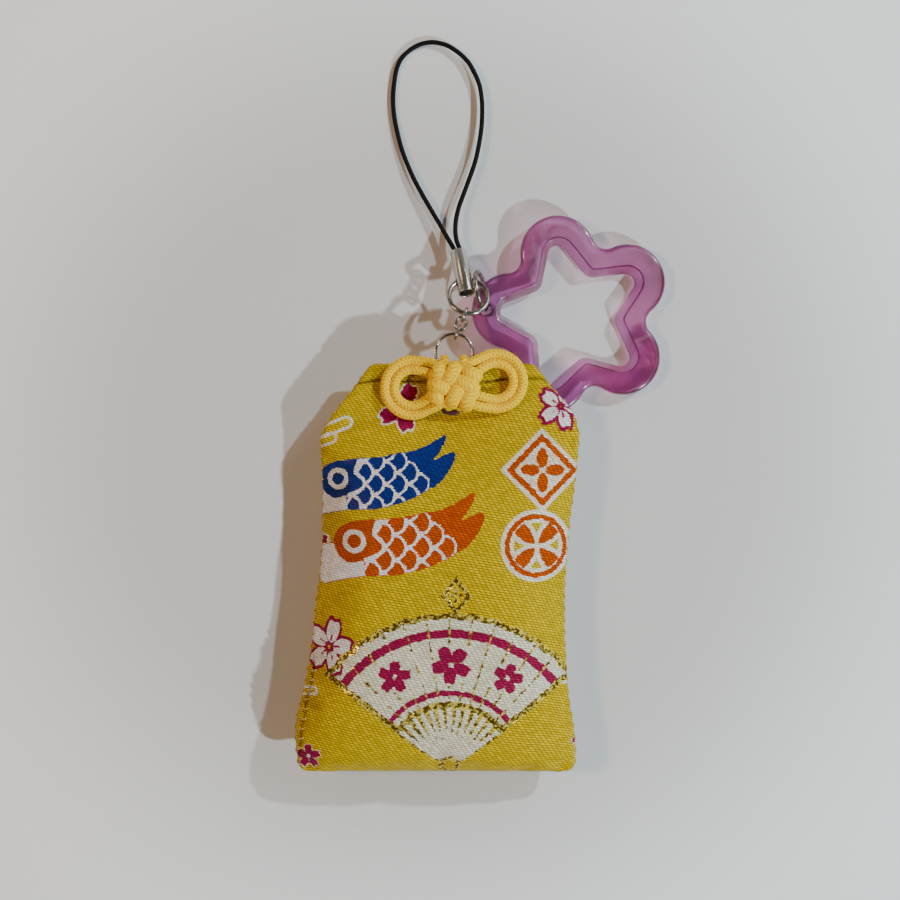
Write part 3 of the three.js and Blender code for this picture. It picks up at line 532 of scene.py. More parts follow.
def figures(x, y, front_side):
    """All the woven figures of one face, as one distance for each colour of thread."""
    threads = ("cream", "pale", "orange", "blue", "magenta", "white", "gilt")
    ink = {name: np.full(x.shape, FAR) for name in threads}

    def lay(name, distance):
        ink[name] = np.minimum(ink[name], distance)

    def white_blossom(cx, cy, radius, turn, narrow=1.0):
        petals, lines = blossom((x - cx) / narrow, y - cy, radius, turn)
        lay("magenta", petals - 0.32)
        lay("white", np.maximum(petals + 0.26, 0.16 - lines))

    def magenta_blossom(cx, cy, radius, turn, edge=0.42):
        petals = blossom(x - cx, y - cy, radius, turn)[0]
        lay("pale", petals - edge)
        lay("magenta", petals)
        lay("white", np.hypot(x - cx, y - cy) - 0.13 * radius)

    def cloud(ax, ay, bx, by, radius):
        lay("pale", np.abs(stroke([(ax, ay), (bx, by)], x, y) - radius) - 0.24)

    if not front_side:
        for place in ((-9, 12, 4.6, 10), (10, -3, 5, 40), (-8, -19, 4.4, 62), (13, 21, 3.4, 0)):
            white_blossom(*place)
        for place in ((5, 13, 2.3, 20), (-15, -3, 2.6, 0), (12, -22, 2.4, 33)):
            magenta_blossom(*place)
        return ink
    for name, ex, ey, big in (("blue", -EYE_X, EYE_Y, 1), ("orange", -16.1, 7.2, 1.11)):
        body, white = carp((x - ex) / big - EYE_X, (y - ey) / big + EYE_Y)
        lay(name, body * big)
        lay("white", white * big)
    for place in ((20.4, 30.9, 4.3, 70), (-20.6, -11.5, 5.4, 74, 0.82)):
        white_blossom(*place)
    for place in (
        (-7.7, 30.8, 4.6, 66, 0.28), (-24.3, -30.9, 2.4, 20, 0.1), (-23.4, 7.2, 2.6, 5, 0.3),
        (23.8, -28.5, 1.6, 30, 0.1),
    ):
        magenta_blossom(*place)
    for place in (
        (-22.6, 26.2, -17.7, 28.1, 0.95), (-23.2, 24.4, -20.3, 25.4, 0.85), (19.6, -16.9, 23.5, -16.6, 1.2),
        (-25.4, -19.5, -23.4, -19.3, 0.6),
    ):
        cloud(*place)
    leaf, gilt, bands = folding_fan(x, y)
    lay("cream", leaf)
    lay("gilt", gilt)
    lay("magenta", bands)
    for r, a, radius, turn in ((18.6, -31, 3.1, 15), (18.2, 1, 3.7, 48), (18.7, 33, 2.9, 70)):
        cx, cy = FAN_X + r * math.sin(math.radians(a)), FAN_Y + r * math.cos(math.radians(a))
        petals = blossom(x - cx, y - cy, radius, turn)[0]
        lay("magenta", petals)
        ink["gilt"] = np.maximum(ink["gilt"], 0.5 - petals)
    u, v = x - 1.8, y + 2.2
    lay("gilt", np.abs((np.abs(u) / 0.8 + np.abs(v)) / 1.6 - 1.75) - 0.34)
    lay("gilt", ellipse(np.abs(u) - 0.7, v, 0.5, 0.3))
    lay("gilt", ellipse(u, np.abs(v) - 0.8, 0.3, 0.55))
    for shape in (diamond_flower(x - 17.0, y - 19.7, 5.9), linked_rings(x - 15.9, y - 6.4, 5.2)):
        lay("pale", shape - 0.75)
        lay("orange", shape)
    return ink


# Brocade is floats of glossy polyester over a ground weave, stepped aside from row to row as in a twill; each
# thread is coloured darker in the gaps between floats, partly the ground's own colour and partly painted
# shade.
# The floats are 0.84 by 0.44 mm, and the figures' edges step from float to float; the gilt thread is
# metallised film with painted glints, and the creases of hem and seam are darkened with painted shade.
def maths(material, operation, *values):
    """One sum on numbers or outputs of nodes."""
    return add(material, "Math", dict(enumerate(values)), operation=operation)


def mark(piece, name, values):
    """Keep a value at each of a piece's points, for its material to read."""
    layer = piece.data.attributes.new(name, "FLOAT", "POINT")
    layer.data.foreach_set("value", np.asarray(values, np.float32))


def marked(material, name):
    """The value kept at a piece's points under this name."""
    return add(material, "Attribute", {}, "Fac", attribute_name=name)


brocade = new_material("polyester_brocade", {"Specular IOR Level": 0.2, "Specular Tint": linear("#FFC020")})
cloth_map = add(brocade, "UVMap", {}, uv_map="cloth")
weft = add(brocade, "SeparateXYZ", {0: cloth_map})
warp = weft.node.outputs[1]
aside = maths(brocade, "MULTIPLY_ADD", warp, 0.62, weft)
askew = maths(brocade, "MULTIPLY_ADD", weft, 0.16, warp)
float_shade = add(
    brocade,
    "TexBrick",
    {
        "Vector": add(brocade, "CombineXYZ", {0: aside, 1: askew}),
        "Color1": (0, 0, 0, 1), "Color2": (1, 1, 1, 1), "Mortar": (0.5, 0.5, 0.5, 1), "Scale": 1, "Bias": 0,
        "Mortar Size": 0.1, "Mortar Smooth": 0.8, "Brick Width": 0.84, "Row Height": 0.44,
    },
    "Color",
    offset=0.0,
)
gap = float_shade.node.outputs["Fac"]
stagger = ramp(brocade, float_shade, 0, 1, -0.13, 0.13)


def woven_in(name, soft):
    """Where a thread shows: inside its figure, whose edge steps from float to float."""
    return ramp(brocade, maths(brocade, "ADD", marked(brocade, name), stagger), soft, -soft)


# Painted shade: each thread gets a darker second colour in the gaps between floats, partly the ground's own
# colour.
colour = blend(brocade, gap, "#D6B602", "#866802")
for name, raised, sunk_painted_shade in (
    ("cream", "#EBE5CC", "#A39A78"), ("pale", "#EFE6D6", "#BFAE8C"), ("orange", "#C44C02", "#822F01"),
    ("blue", "#072E84", "#04194C"), ("magenta", "#9C0F4A", "#5E072D"), ("white", "#F6F1EE", "#C4B6B8"),
):
    colour = blend(brocade, woven_in(name, 0.05), colour, blend(brocade, gap, raised, sunk_painted_shade))
# Painted shade: the cloth's colour is darkened down to 0.4 along the creases of hem and seam.
crease_painted_shade = ramp(brocade, marked(brocade, "fold"), 0, 1, 1.0, 0.4)
tone = maths(brocade, "MULTIPLY", ramp(brocade, float_shade, 0, 1, 0.78, 1.14), crease_painted_shade)
toned = blend(brocade, 1.0, colour, tone, blend_type="MULTIPLY")
# Painted glints: the metallised film is coloured bright and dark from fleck to fleck.
film = add(brocade, "TexVoronoi", {"Vector": cloth_map, "Scale": 1 / 0.36}, "Color", voronoi_dimensions="2D")
glint = add(brocade, "SeparateColor", {0: film})
film_painted_glints = blend(brocade, ramp(brocade, glint, 0.35, 0.95), "#5C4404", "#FFE870")
film_mask = woven_in("gilt", 0.06)
film_relief = maths(brocade, "MULTIPLY", glint.node.outputs[1], film_mask)
relief = maths(brocade, "ADD", maths(brocade, "SUBTRACT", 1.0, gap), film_relief)
gloss = ramp(brocade, gap, 0, 1, 0.38, 0.8)
drive(
    brocade,
    {
        "Base Color": blend(brocade, film_mask, toned, film_painted_glints),
        "Metallic": maths(brocade, "MULTIPLY", film_mask, 0.45),
        "Roughness": add(brocade, "Mix", {0: film_mask, 2: gloss, 3: 0.25}, data_type="FLOAT"),
        "Normal": bump(brocade, relief, 0.85, 0.1),
    },
)
bag = new_piece("brocade_bag", points, quads + under, brocade)
inner_back = back[1:-1, 1:-1]
front_ink = figures(x, y, True)
back_ink = figures(inner_back[:, :, 0], inner_back[:, :, 1], False)
# Painted shade: where the creases of hem and seam lie, kept for the cloth's colour to darken.
front_ink["fold"] = np.maximum(hem_fold, 0.5 * seam_fold)
back_ink["fold"] = np.zeros(inner_back.shape[:2])
for name, distance in front_ink.items():
    mark(bag, name, np.r_[distance.ravel(), back_ink[name].ravel()])
maps = []
for grid in (front, back):
    across = np.linalg.norm(np.diff(grid, axis=1), axis=2)
    along = np.linalg.norm(np.diff(grid, axis=0), axis=2)
    u = np.pad(np.cumsum(across, axis=1), ((0, 0), (1, 0)))
    v = np.pad(np.cumsum(along, axis=0), ((1, 0), (0, 0)))
    maps.append(np.dstack([u - u[:, u.shape[1] // 2][:, None], v - v[v.shape[0] // 2][None, :]]))
front_uv = maps[0].reshape(-1, 2)
back_uv = np.zeros((len(points), 2))
back_uv[: len(front_uv)] = front_uv
back_uv[b.ravel()] = maps[1].reshape(-1, 2)
back_uv[: COLUMNS + 1] = front_uv[: COLUMNS + 1]
corners = np.empty(len(bag.data.loops), np.int32)
bag.data.loops.foreach_get("vertex_index", corners)
quad_corners = len(quads) * 4
uv = np.vstack([front_uv[corners[:quad_corners]], back_uv[corners[quad_corners:]]])
bag.data.uv_layers.new(name="cloth").data.foreach_set("uv", uv.astype(np.float32).ravel())
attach(bag, "pouch")
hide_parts("pouch_front", "pouch_back")


# Sewing thread. Short stitches of spun polyester close the side seams and the hem; those of the left seam
# show beside the bottom corner, and dark ones show in the hem inside the bow and whip an eyelet under it.
def tube(points, radius, sides, relief=None, wide=1.0):
    """A bar along a run of points, closed at both ends, with its map along and round it in millimetres."""
    p = np.asarray(points, float)
    way = np.gradient(p, axis=0)
    way /= np.linalg.norm(way, axis=1, keepdims=True)
    side = np.cross(way[0], (0.0, 0.0, 1.0))
    if np.linalg.norm(side) < 0.2:
        side = np.cross(way[0], (0.0, 1.0, 0.0))
    normals = []
    for step in way:
        side = side - step * side.dot(step)
        side /= np.linalg.norm(side)
        normals.append(side)
    normals = np.array(normals)
    binormals = np.cross(way, normals)
    length = lengths(p)
    turn = np.arange(sides) * 2 * math.pi / sides
    height = np.zeros((len(p), sides)) if relief is None else relief(length[:, None], turn[None, :])
    rings = p[:, None] + (radius + height)[..., None] * (
        wide * np.cos(turn)[:, None] * normals[:, None] + np.sin(turn)[:, None] * binormals[:, None]
    )
    index = np.arange(len(p) * sides).reshape(len(p), sides)
    after = np.roll(index, -1, axis=1)
    faces = np.stack([index[:-1], after[:-1], after[1:], index[1:]], -1).reshape(-1, 4).tolist()
    faces += [index[0, ::-1].tolist(), index[-1].tolist()]
    around = np.arange(sides + 1) * 2 * math.pi * radius / sides
    uv = np.empty((len(p) - 1, sides, 4, 2))
    uv[:, :, (0, 1), 0], uv[:, :, (2, 3), 0] = length[:-1, None, None], length[1:, None, None]
    uv[:, :, (0, 3), 1], uv[:, :, (1, 2), 1] = around[None, :-1, None], around[None, 1:, None]
    ends = np.column_stack([np.r_[np.zeros(sides), np.full(sides, length[-1])], np.tile(around[:-1], 2)])
    return rings.reshape(-1, 3), faces, np.vstack([uv.reshape(-1, 2), ends]), height.ravel()


def cord_piece(name, runs, radius, sides, material, relief=None, wide=1.0):
    """One mesh of several bars, with the map "cord" and the height of the relief."""
    points, faces, uv, heights, start = [], [], [], [], 0
    for run in runs:
        p, f, m, h = tube(run, radius, sides, relief, wide)
        faces += [[i + start for i in face] for face in f]
        points.append(p)
        uv.append(m)
        heights.append(h)
        start += len(p)
    piece = new_piece(name, np.vstack(points), faces, material)
    piece.data.uv_layers.new(name="cord").data.foreach_set("uv", np.vstack(uv).astype(np.float32).ravel())
    mark(piece, "raised", np.concatenate(heights))
    return piece


def twisted_thread(name, inputs, dark, light, pitch, radius, depth, strength):
    """A material of two-ply thread, whose strands lean across it, with painted shade between the plies."""
    material = new_material(name, inputs)
    along = add(material, "SeparateXYZ", {0: add(material, "UVMap", {}, uv_map="cord")})
    lean = maths(material, "MULTIPLY_ADD", along.node.outputs[1], pitch / (math.pi * radius), along)
    ply = maths(material, "SINE", maths(material, "MULTIPLY", lean, 2 * math.pi / pitch))
    # Painted shade: the thread is coloured dark between its plies and light on them.
    spun = blend(material, ramp(material, ply, -1, 1), dark, light)
    drive(material, {"Base Color": spun, "Normal": bump(material, ply, strength, depth)})
    return material


def front_height(px, py):
    """The bag's front under a point."""
    near = np.argmin((front[:, :, 0] - px) ** 2 + (front[:, :, 1] - py) ** 2)
    return front.reshape(-1, 3)[near, 2]


THREAD_RADIUS, STITCH_STEP, SHOWN_STEP = 0.16, 2.1, 1.7
THREAD_TWIST = {"pitch": 0.35, "radius": THREAD_RADIUS, "depth": 0.04, "strength": 0.8}
sewing = twisted_thread(
    "spun_polyester_thread", {"Roughness": 0.7, "Sheen Weight": 0.3}, "#A07C08", "#CDAF3A", **THREAD_TWIST
)
for node, column, sign in (("side_seam_left", 0, -1), ("side_seam_right", -1, 1)):
    stitches = []
    edge = front[6:-6, column]
    rise = lengths(edge)
    for at in np.arange(1.5, rise[-1] - 1.5, STITCH_STEP):
        a, m, e = (np.array([np.interp(at + d, rise, edge[:, k]) for k in range(3)]) for d in (0, 0.45, 0.9))
        a, e = a + (-0.1 * sign, 0, -0.35), e + (-0.1 * sign, 0, 0.35)
        m = m + (0.05 * sign, 0, 0)
        stitches.append(smooth_run([a, m, e], 0.18))
    if node == "side_seam_left":
        for py in np.arange(-29.5, -14.5, SHOWN_STEP):
            px = float(seam_at(py))
            a, e = (np.array([px + d, py + 0.25 * d, front_height(px + d, py)]) for d in (-0.5, 0.5))
            stitches.append(smooth_run([a, (a + e) / 2 + (0, 0, 0.22), e], 0.15))
    seam = cord_piece(node + "_stitches", stitches, THREAD_RADIUS, 8, sewing)
    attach(seam, "pouch")
    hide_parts(node)

maroon = twisted_thread(
    "maroon_thread", {"Roughness": 0.75, "Sheen Weight": 0.2}, "#2E0508", "#6A1116", **THREAD_TWIST
)
stitches = []
for px in (-4.9, -2.4, 0.2, 2.8, 5.2, 7.4, 9.9, 12.1):
    py = float(hem_at(px))
    z = front_height(px, py)
    stitch = [(px + d, py, z + lift) for d, lift in ((-0.42, -0.05), (0, 0.16), (0.42, -0.05))]
    stitches.append(smooth_run(stitch, 0.14))
EYELET_X, EYELET_Y, EYELET_FOOT = 1.0, 31.15, 29.8
z = front_height(EYELET_X, EYELET_FOOT)
for a in np.linspace(0, 2 * math.pi, 37)[:-1]:
    whip = [
        (EYELET_X + wide * math.cos(a), EYELET_Y + (wide - 0.2) * math.sin(a), z + lift)
        for wide, lift in ((1.2, 0.02), (1.6, 0.34), (2.0, 0.0))
    ]
    stitches.append(smooth_run(whip, 0.16))
ring = [
    (EYELET_X + 1.55 * math.cos(a), EYELET_Y + 1.35 * math.sin(a), z + 0.18)
    for a in np.linspace(0, 2 * math.pi, 49)
]
hem = cord_piece("hem_and_eyelet_stitches", stitches + [ring], THREAD_RADIUS, 8, maroon)
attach(hem, "pouch")

# Braided cord. One length of round cotton braid, 1.8 mm, tied over the neck as a double bow: two strands lie
# in each loop, and its wraps cross in the middle as a pinwheel of four pairs. Two bights hold the split ring.
BRAID_RADIUS, BRAID_PITCH, BRAID_STEP = 0.84, 0.66, 0.11
KNOT, KNOT_TURN = np.array([1.43, 34.8, 7.525]), math.radians(4.5)
braid = new_material("round_cotton_braid", {"Roughness": 0.8, "Specular IOR Level": 0.1})
# Painted shade: the braid is coloured dark orange where its relief sinks and bright yellow where it stands
# up.
strand = blend(braid, ramp(braid, marked(braid, "raised"), -0.065, 0.02), "#A85C00", "#FFD000")
cord_map = add(braid, "UVMap", {}, uv_map="cord")
hairs = add(braid, "TexNoise", {"Vector": cord_map, "Scale": 1 / 0.14, "Detail": 4, "Roughness": 0.7}, "Fac")
cotton = blend(braid, ramp(braid, hairs, 0.4, 0.75, 0.0, 0.3), strand, "#FFDC20")
drive(braid, {"Base Color": cotton, "Normal": bump(braid, hairs, 0.5, 0.08)})


def braided(length, turn):
    """Relief of the braid: six columns of slanting stitches, neighbours leaning opposite ways."""
    column = turn * 6 / (2 * math.pi)
    stitch = length / BRAID_PITCH + np.abs(column % 2 - 1) + 0.15 * np.sin(2.3 * length + 2 * turn)
    ridge = np.abs(np.sin(stitch * math.pi)) ** 0.7
    furrow = np.abs(np.sin(column * math.pi)) ** 0.5
    return 0.12 * ridge * (0.5 + 0.5 * furrow) - 0.07


def on_knot(points, turn):
    """Points of the knot turned about its middle and set on the neck."""
    p = np.asarray(points, float)
    c, s = math.cos(turn), math.sin(turn)
    return np.column_stack([p[:, 0] * c - p[:, 1] * s, p[:, 0] * s + p[:, 1] * c, p[:, 2]]) + KNOT


def bow_loop(radius, head, foot):
    """One strand of the left loop, from the crown's upper side round to its lower side."""
    middle, lying, crossing = -7.4, 1.12, 0.9
    points = [
        (middle + radius * math.cos(a), radius * math.sin(a), lying + crossing * max(0.0, math.cos(a)))
        for a in np.linspace(math.radians(70), math.radians(300), 13)
    ]
    return head + points + foot


outer = bow_loop(4.87, [(-1.6, 2.9, 2.2), (-3.7, 4.1, 2.1)], [(-3.0, -3.5, 2.1), (-1.6, -2.6, 2.0)])
inner = bow_loop(3.19, [(-1.8, 1.5, 2.1), (-4.2, 2.35, 1.95)], [(-4.2, -1.9, 1.9), (-2.2, -1.1, 1.9)])
for side, turn in (("left", KNOT_TURN), ("right", KNOT_TURN + math.pi)):
    runs = [smooth_run(on_knot(points, turn), BRAID_STEP) for points in (outer, inner)]
    loop = cord_piece(f"bow_{side}_loop", runs, BRAID_RADIUS, 32, braid, braided)
    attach(loop, "pouch")
    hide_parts(f"knot_{side}_outer_loop", f"knot_{side}_inner_loop")


def wrap(start, end, top):
    """One flattened strand of the crown: it comes out from under its neighbour and turns down outside."""
    a, b = np.array(start), np.array(end)
    u = (b - a) / np.linalg.norm(b - a)
    steps = (
        (a - 1.2 * u, top - 2.0), (a - 0.2 * u, top - 1.15), (a + 0.8 * u, top - 0.2),
        (b - 1.75 * u, top - 0.06), (b - 1.1 * u, top - 0.5), (b - 0.86 * u, top - 1.2),
        (b - 0.86 * u, 1.5), (b - 1.5 * u, 1.1),
    )
    return smooth_run(on_knot([(*at, z) for at, z in steps], 0), BRAID_STEP)


def laid(length, turn):
    """The braid's relief where it is drawn flat: finer and lower."""
    return 0.6 * braided(1.2 * length, turn)


wraps = [
    wrap((-1.29, 0.19), (0.75, 3.95), 3.9), wrap((-3.18, 1.04), (-2.0, 3.95), 3.65),
    wrap((-0.91, -1.07), (-4.65, 0.25), 3.8), wrap((-2.02, -2.67), (-4.85, -1.65), 3.55),
    wrap((1.0, -0.5), (-1.0, -4.2), 3.9), wrap((3.1, -1.25), (1.7, -4.75), 3.65),
    wrap((0.38, 0.65), (4.3, -0.75), 3.8), wrap((1.7, 2.5), (4.9, 0.95), 3.55),
]
crown = cord_piece("bow_crown", wraps, BRAID_RADIUS, 40, braid, laid, 1.5)
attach(crown, "pouch")
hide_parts("knot_crown")
core_runs = []
for h in (-2.6, -0.9, 0.9, 2.6):
    strand_points = [(-3.0, h, 1.2), (-1.2, h * 1.1, 1.9), (1.2, h * 1.1, 1.9), (3.0, h, 1.2)]
    core_runs.append(smooth_run(on_knot(strand_points, KNOT_TURN), 0.15))
core = cord_piece("bow_heart", core_runs, 1.0, 24, braid, braided)
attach(core, "pouch")

for side, sign in (("left", -1), ("right", 1)):
    bx, slot_x = KNOT[0] + 1.7 * sign, KNOT[0] + 0.97 * sign
    run = smooth_run(
        [
            (slot_x, 34.8, 9.7), (bx - 0.2 * sign, 37.0, 9.85), (bx, 38.3, 9.78), (bx, 39.0, 9.35),
            (bx, 39.3, 8.5), (bx, 39.3, 6.4), (bx, 39.0, 5.35), (bx, 38.1, 4.98), (slot_x, 35.5, 4.98),
            (slot_x, 32.3, 4.98), (slot_x, 31.35, 5.35), (slot_x, 31.0, 6.2), (slot_x, 31.0, 8.2),
            (slot_x, 31.6, 8.9),
        ],
        BRAID_STEP,
    )
    bight = cord_piece(f"bight_{side}", [run], BRAID_RADIUS - 0.02, 32, braid, braided)
    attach(bight, "pouch")
    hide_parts(f"cord_bight_{side}")

# Nickel findings. Steel wire, bent, cut and nickel-plated: bright where it is rubbed, brownish grey where
# dust and handling have dulled it. The split ring is two turns with a step where one crosses to the other.
nickel = new_material("nickel_plated_wire", {"Metallic": 1.0})
dull = speckle(nickel, 0.9, 5)
drive(
    nickel,
    {
        "Base Color": blend(nickel, dull, "#6F665B", "#C9C2B8"),
        "Roughness": ramp(nickel, dull, 0.3, 0.7, 0.3, 0.14),
        "Normal": bump(nickel, dull, 0.12, 0.02),
    },
)


def start_wire(radius, wide, high, corners):
    """A wire's end, a filled circle standing at this radius, left selected in edit mode."""
    bpy.ops.mesh.primitive_circle_add(
        vertices=corners, radius=1, fill_type="NGON", rotation=(math.pi / 2, 0, 0)
    )
    bpy.ops.object.transform_apply(rotation=True)
    bpy.ops.object.mode_set(mode="EDIT")
    bpy.ops.mesh.select_all(action="SELECT")
    bpy.ops.transform.resize(value=(wide / 2 * MM, MM, high / 2 * MM))
    bpy.ops.transform.translate(value=(radius * MM, 0, 0))


def bend(steps, degrees, y=0):
    """Draw the selected end of the wire round an upright axis."""
    bpy.ops.mesh.spin(steps=steps, angle=math.radians(degrees), center=(0, y * MM, 0), axis=(0, 0, 1))


def finish_wire(name, place, ends):
    """Clean the bent wire, round its cut ends and set it in place."""
    bpy.ops.mesh.select_all(action="SELECT")
    bpy.ops.mesh.remove_doubles(threshold=0.004 * MM)
    bpy.ops.mesh.normals_make_consistent(inside=False)
    if ends:
        bpy.ops.mesh.select_all(action="DESELECT")
        bpy.ops.mesh.edges_select_sharp(sharpness=math.radians(60))
        bpy.ops.mesh.bevel(offset=0.07 * MM, segments=2, affect="EDGES")
    bpy.ops.object.mode_set(mode="OBJECT")
    wire = bpy.context.object
    wire.name = name
    wire.data.transform(place)
    cover(wire, nickel)
    bpy.ops.object.shade_smooth_by_angle(angle=math.radians(50))
    return wire


def axes(centre, along, up):
    """A place with its X axis along one direction and its Z axis nearest the other."""
    z = Vector(up).normalized()
    y_axis = z.cross(Vector(along)).normalized()
    x_axis = y_axis.cross(z)
    place = Matrix((x_axis, y_axis, z)).transposed().to_4x4()
    place.translation = Vector(centre) * MM
    return place


SPLIT_RADIUS, SPLIT_WIDE, SPLIT_HIGH, TURN_PITCH, CROSSING_STEPS = 3.3, 0.55, 0.44, 0.49, 12
start_wire(SPLIT_RADIUS, SPLIT_WIDE, SPLIT_HIGH, 16)
bpy.ops.transform.translate(value=(0, 0, -TURN_PITCH / 2 * MM))
bend(66, 330)
for _ in range(CROSSING_STEPS):
    bend(1, 5)
    bpy.ops.transform.translate(value=(0, 0, TURN_PITCH / CROSSING_STEPS * MM))
bend(66, 328)
split_ring = finish_wire("split_ring_wire", axes((1.43, 40.5, 8.25), (-0.9, 0.45, 0), (0, 0, 1)), True)
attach(split_ring, "split_ring")
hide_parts("split_ring")

# Chain links. Three closed oval links of nickel-plated wire; the first and the last stand on edge and the
# middle one lies flat.
LINK_WIRE, LINK_RADIUS, LINK_STRAIGHT = 0.55, 0.9, 0.55
chain_way = Vector((0.3649, 0.9311, 0))
chain_side = chain_way.cross(Vector((0, 0, 1)))
for name, centre, up in (
    ("link_lower", (2.032, 44.0225, 8.25), chain_side),
    ("link_middle", (2.6525, 45.605, 8.25), Vector((0, 0, 1))),
    ("link_upper", (3.273, 47.1875, 8.25), chain_side),
):
    start_wire(LINK_RADIUS, LINK_WIRE, LINK_WIRE, 16)
    bpy.ops.mesh.delete(type="ONLY_FACE")
    bpy.ops.mesh.select_all(action="SELECT")
    bend(24, 180)
    bpy.ops.mesh.extrude_region_move(TRANSFORM_OT_translate={"value": (0, LINK_STRAIGHT * MM, 0)})
    bend(24, 180, LINK_STRAIGHT)
    bpy.ops.mesh.extrude_region_move(TRANSFORM_OT_translate={"value": (0, -LINK_STRAIGHT * MM, 0)})
    bpy.ops.mesh.select_all(action="SELECT")
    bpy.ops.transform.translate(value=(0, -LINK_STRAIGHT / 2 * MM, 0))
    link = finish_wire(name + "_wire", axes(centre, chain_way.cross(up), up), False)
    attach(link, name)
    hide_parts(name)

# Jump rings. Open rings of 0.85 mm nickel-plated wire, closed with pliers so that a fine slit stays. The
# upper one carries the strap and the chain; the charm ring stands on the table and links through it.
JUMP_WIRE, JUMP_RADIUS, CHARM_RADIUS = 0.85, 3.48, 3.45
jump_far = Vector((0.1715, 0.8823, -0.4384)).normalized()
jump_left = Vector((0, 0, 1)).cross(jump_far).normalized()
jump_place = axes((3.988, 50.560, 6.7245), jump_far, jump_far.cross(jump_left))
charm_way = Vector((0.2028, -0.9792, 0))
charm_left = charm_way.cross(Vector((0, 0, 1)))
charm_lean = math.radians(15)
charm_rise = Vector((0, 0, math.cos(charm_lean))) + charm_left * math.sin(charm_lean)
charm_place = axes((6.308, 51.871, 3.797), charm_way, charm_way.cross(charm_rise))
for name, radius, slit_at, place in (
    ("upper_ring", JUMP_RADIUS, 115, jump_place),
    ("charm_ring", CHARM_RADIUS, 150, charm_place),
):
    start_wire(radius, JUMP_WIRE, JUMP_WIRE, 20)
    bend(96, 357)
    turned = place @ Matrix.Rotation(math.radians(slit_at + 1.5), 4, "Z")
    ring = finish_wire(name + "_wire", turned, True)
    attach(ring, name)
    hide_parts(name)


# Crimp ferrule. A short tube of bright steel, pressed on the strap's two ends at its upper end, with a cross
# hole for the jump ring's wire; the turned rims are slightly rounded.
def cut(piece, tool):
    """Take the tool's shape out of a piece, and then the tool away."""
    pick_up(piece)
    hole = piece.modifiers.new("hole", "BOOLEAN")
    hole.object = tool
    hole.operation = "DIFFERENCE"
    hole.solver = "EXACT"
    bpy.ops.object.modifier_apply(modifier=hole.name)
    bpy.data.objects.remove(tool)


steel = new_material("bright_rolled_steel", {"Metallic": 1.0, "Anisotropic": 0.4})
place = add(steel, "TexCoord", {}, "Object")
stretched = add(steel, "Mapping", {"Vector": place, "Scale": (6, 0.4, 6)})
rolled = add(steel, "TexNoise", {"Vector": stretched, "Scale": 1 / (1.2 * MM), "Detail": 4}, "Fac")
drive(
    steel,
    {
        "Base Color": blend(steel, rolled, "#C0BBB2", "#D2CEC6"),
        "Roughness": ramp(steel, rolled, 0, 1, 0.2, 0.28),
        "Normal": bump(steel, rolled, 0.03, 0.02),
    },
)
FERRULE_LENGTH, FERRULE_RADIUS, FERRULE_WALL, FERRULE_BORE, WIRE_ROOM = 8.7, 1.48, 0.3, 4.25, 0.62
FERRULE_MIDDLE = 1.55  # from the cross hole
ferrule_way = Vector((-0.16983, 0.89026, -0.42262)).normalized()
ferrule_hole = Vector((3.203, 53.646, 5.320))
ferrule_across = ferrule_way.cross(Vector((0, 0, 1))).normalized()
bpy.ops.mesh.primitive_cylinder_add(
    vertices=56, radius=FERRULE_RADIUS * MM, depth=FERRULE_LENGTH * MM, location=(0, 0, FERRULE_MIDDLE * MM)
)
ferrule = bpy.context.object
ferrule.name = "crimp_ferrule"
bpy.ops.object.transform_apply(location=True)
bpy.ops.object.mode_set(mode="EDIT")
bpy.ops.mesh.select_mode(type="FACE")
for end in (-1, 1):
    bpy.ops.mesh.select_all(action="DESELECT")
    bpy.ops.object.mode_set(mode="OBJECT")
    for face in ferrule.data.polygons:
        face.select = face.normal.z * end > 0.9
    bpy.ops.object.mode_set(mode="EDIT")
    bpy.ops.mesh.inset(thickness=FERRULE_WALL * MM)
    bpy.ops.mesh.extrude_region_move(TRANSFORM_OT_translate={"value": (0, 0, -FERRULE_BORE * end * MM)})
bpy.ops.mesh.select_mode(type="EDGE")
bpy.ops.mesh.select_all(action="DESELECT")
bpy.ops.mesh.edges_select_sharp(sharpness=math.radians(60))
bpy.ops.mesh.bevel(offset=0.1 * MM, segments=3, affect="EDGES")
bpy.ops.object.mode_set(mode="OBJECT")
ferrule.data.transform(axes(ferrule_hole, ferrule_across, ferrule_way))
bpy.ops.mesh.primitive_torus_add(
    major_radius=JUMP_RADIUS * MM, minor_radius=WIRE_ROOM * MM, major_segments=96, minor_segments=24
)
wire_room = bpy.context.object
wire_room.data.transform(jump_place)
cut(ferrule, wire_room)
bpy.ops.object.shade_smooth_by_angle(angle=math.radians(40))
cover(ferrule, steel)
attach(ferrule, "strap")
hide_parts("ferrule")

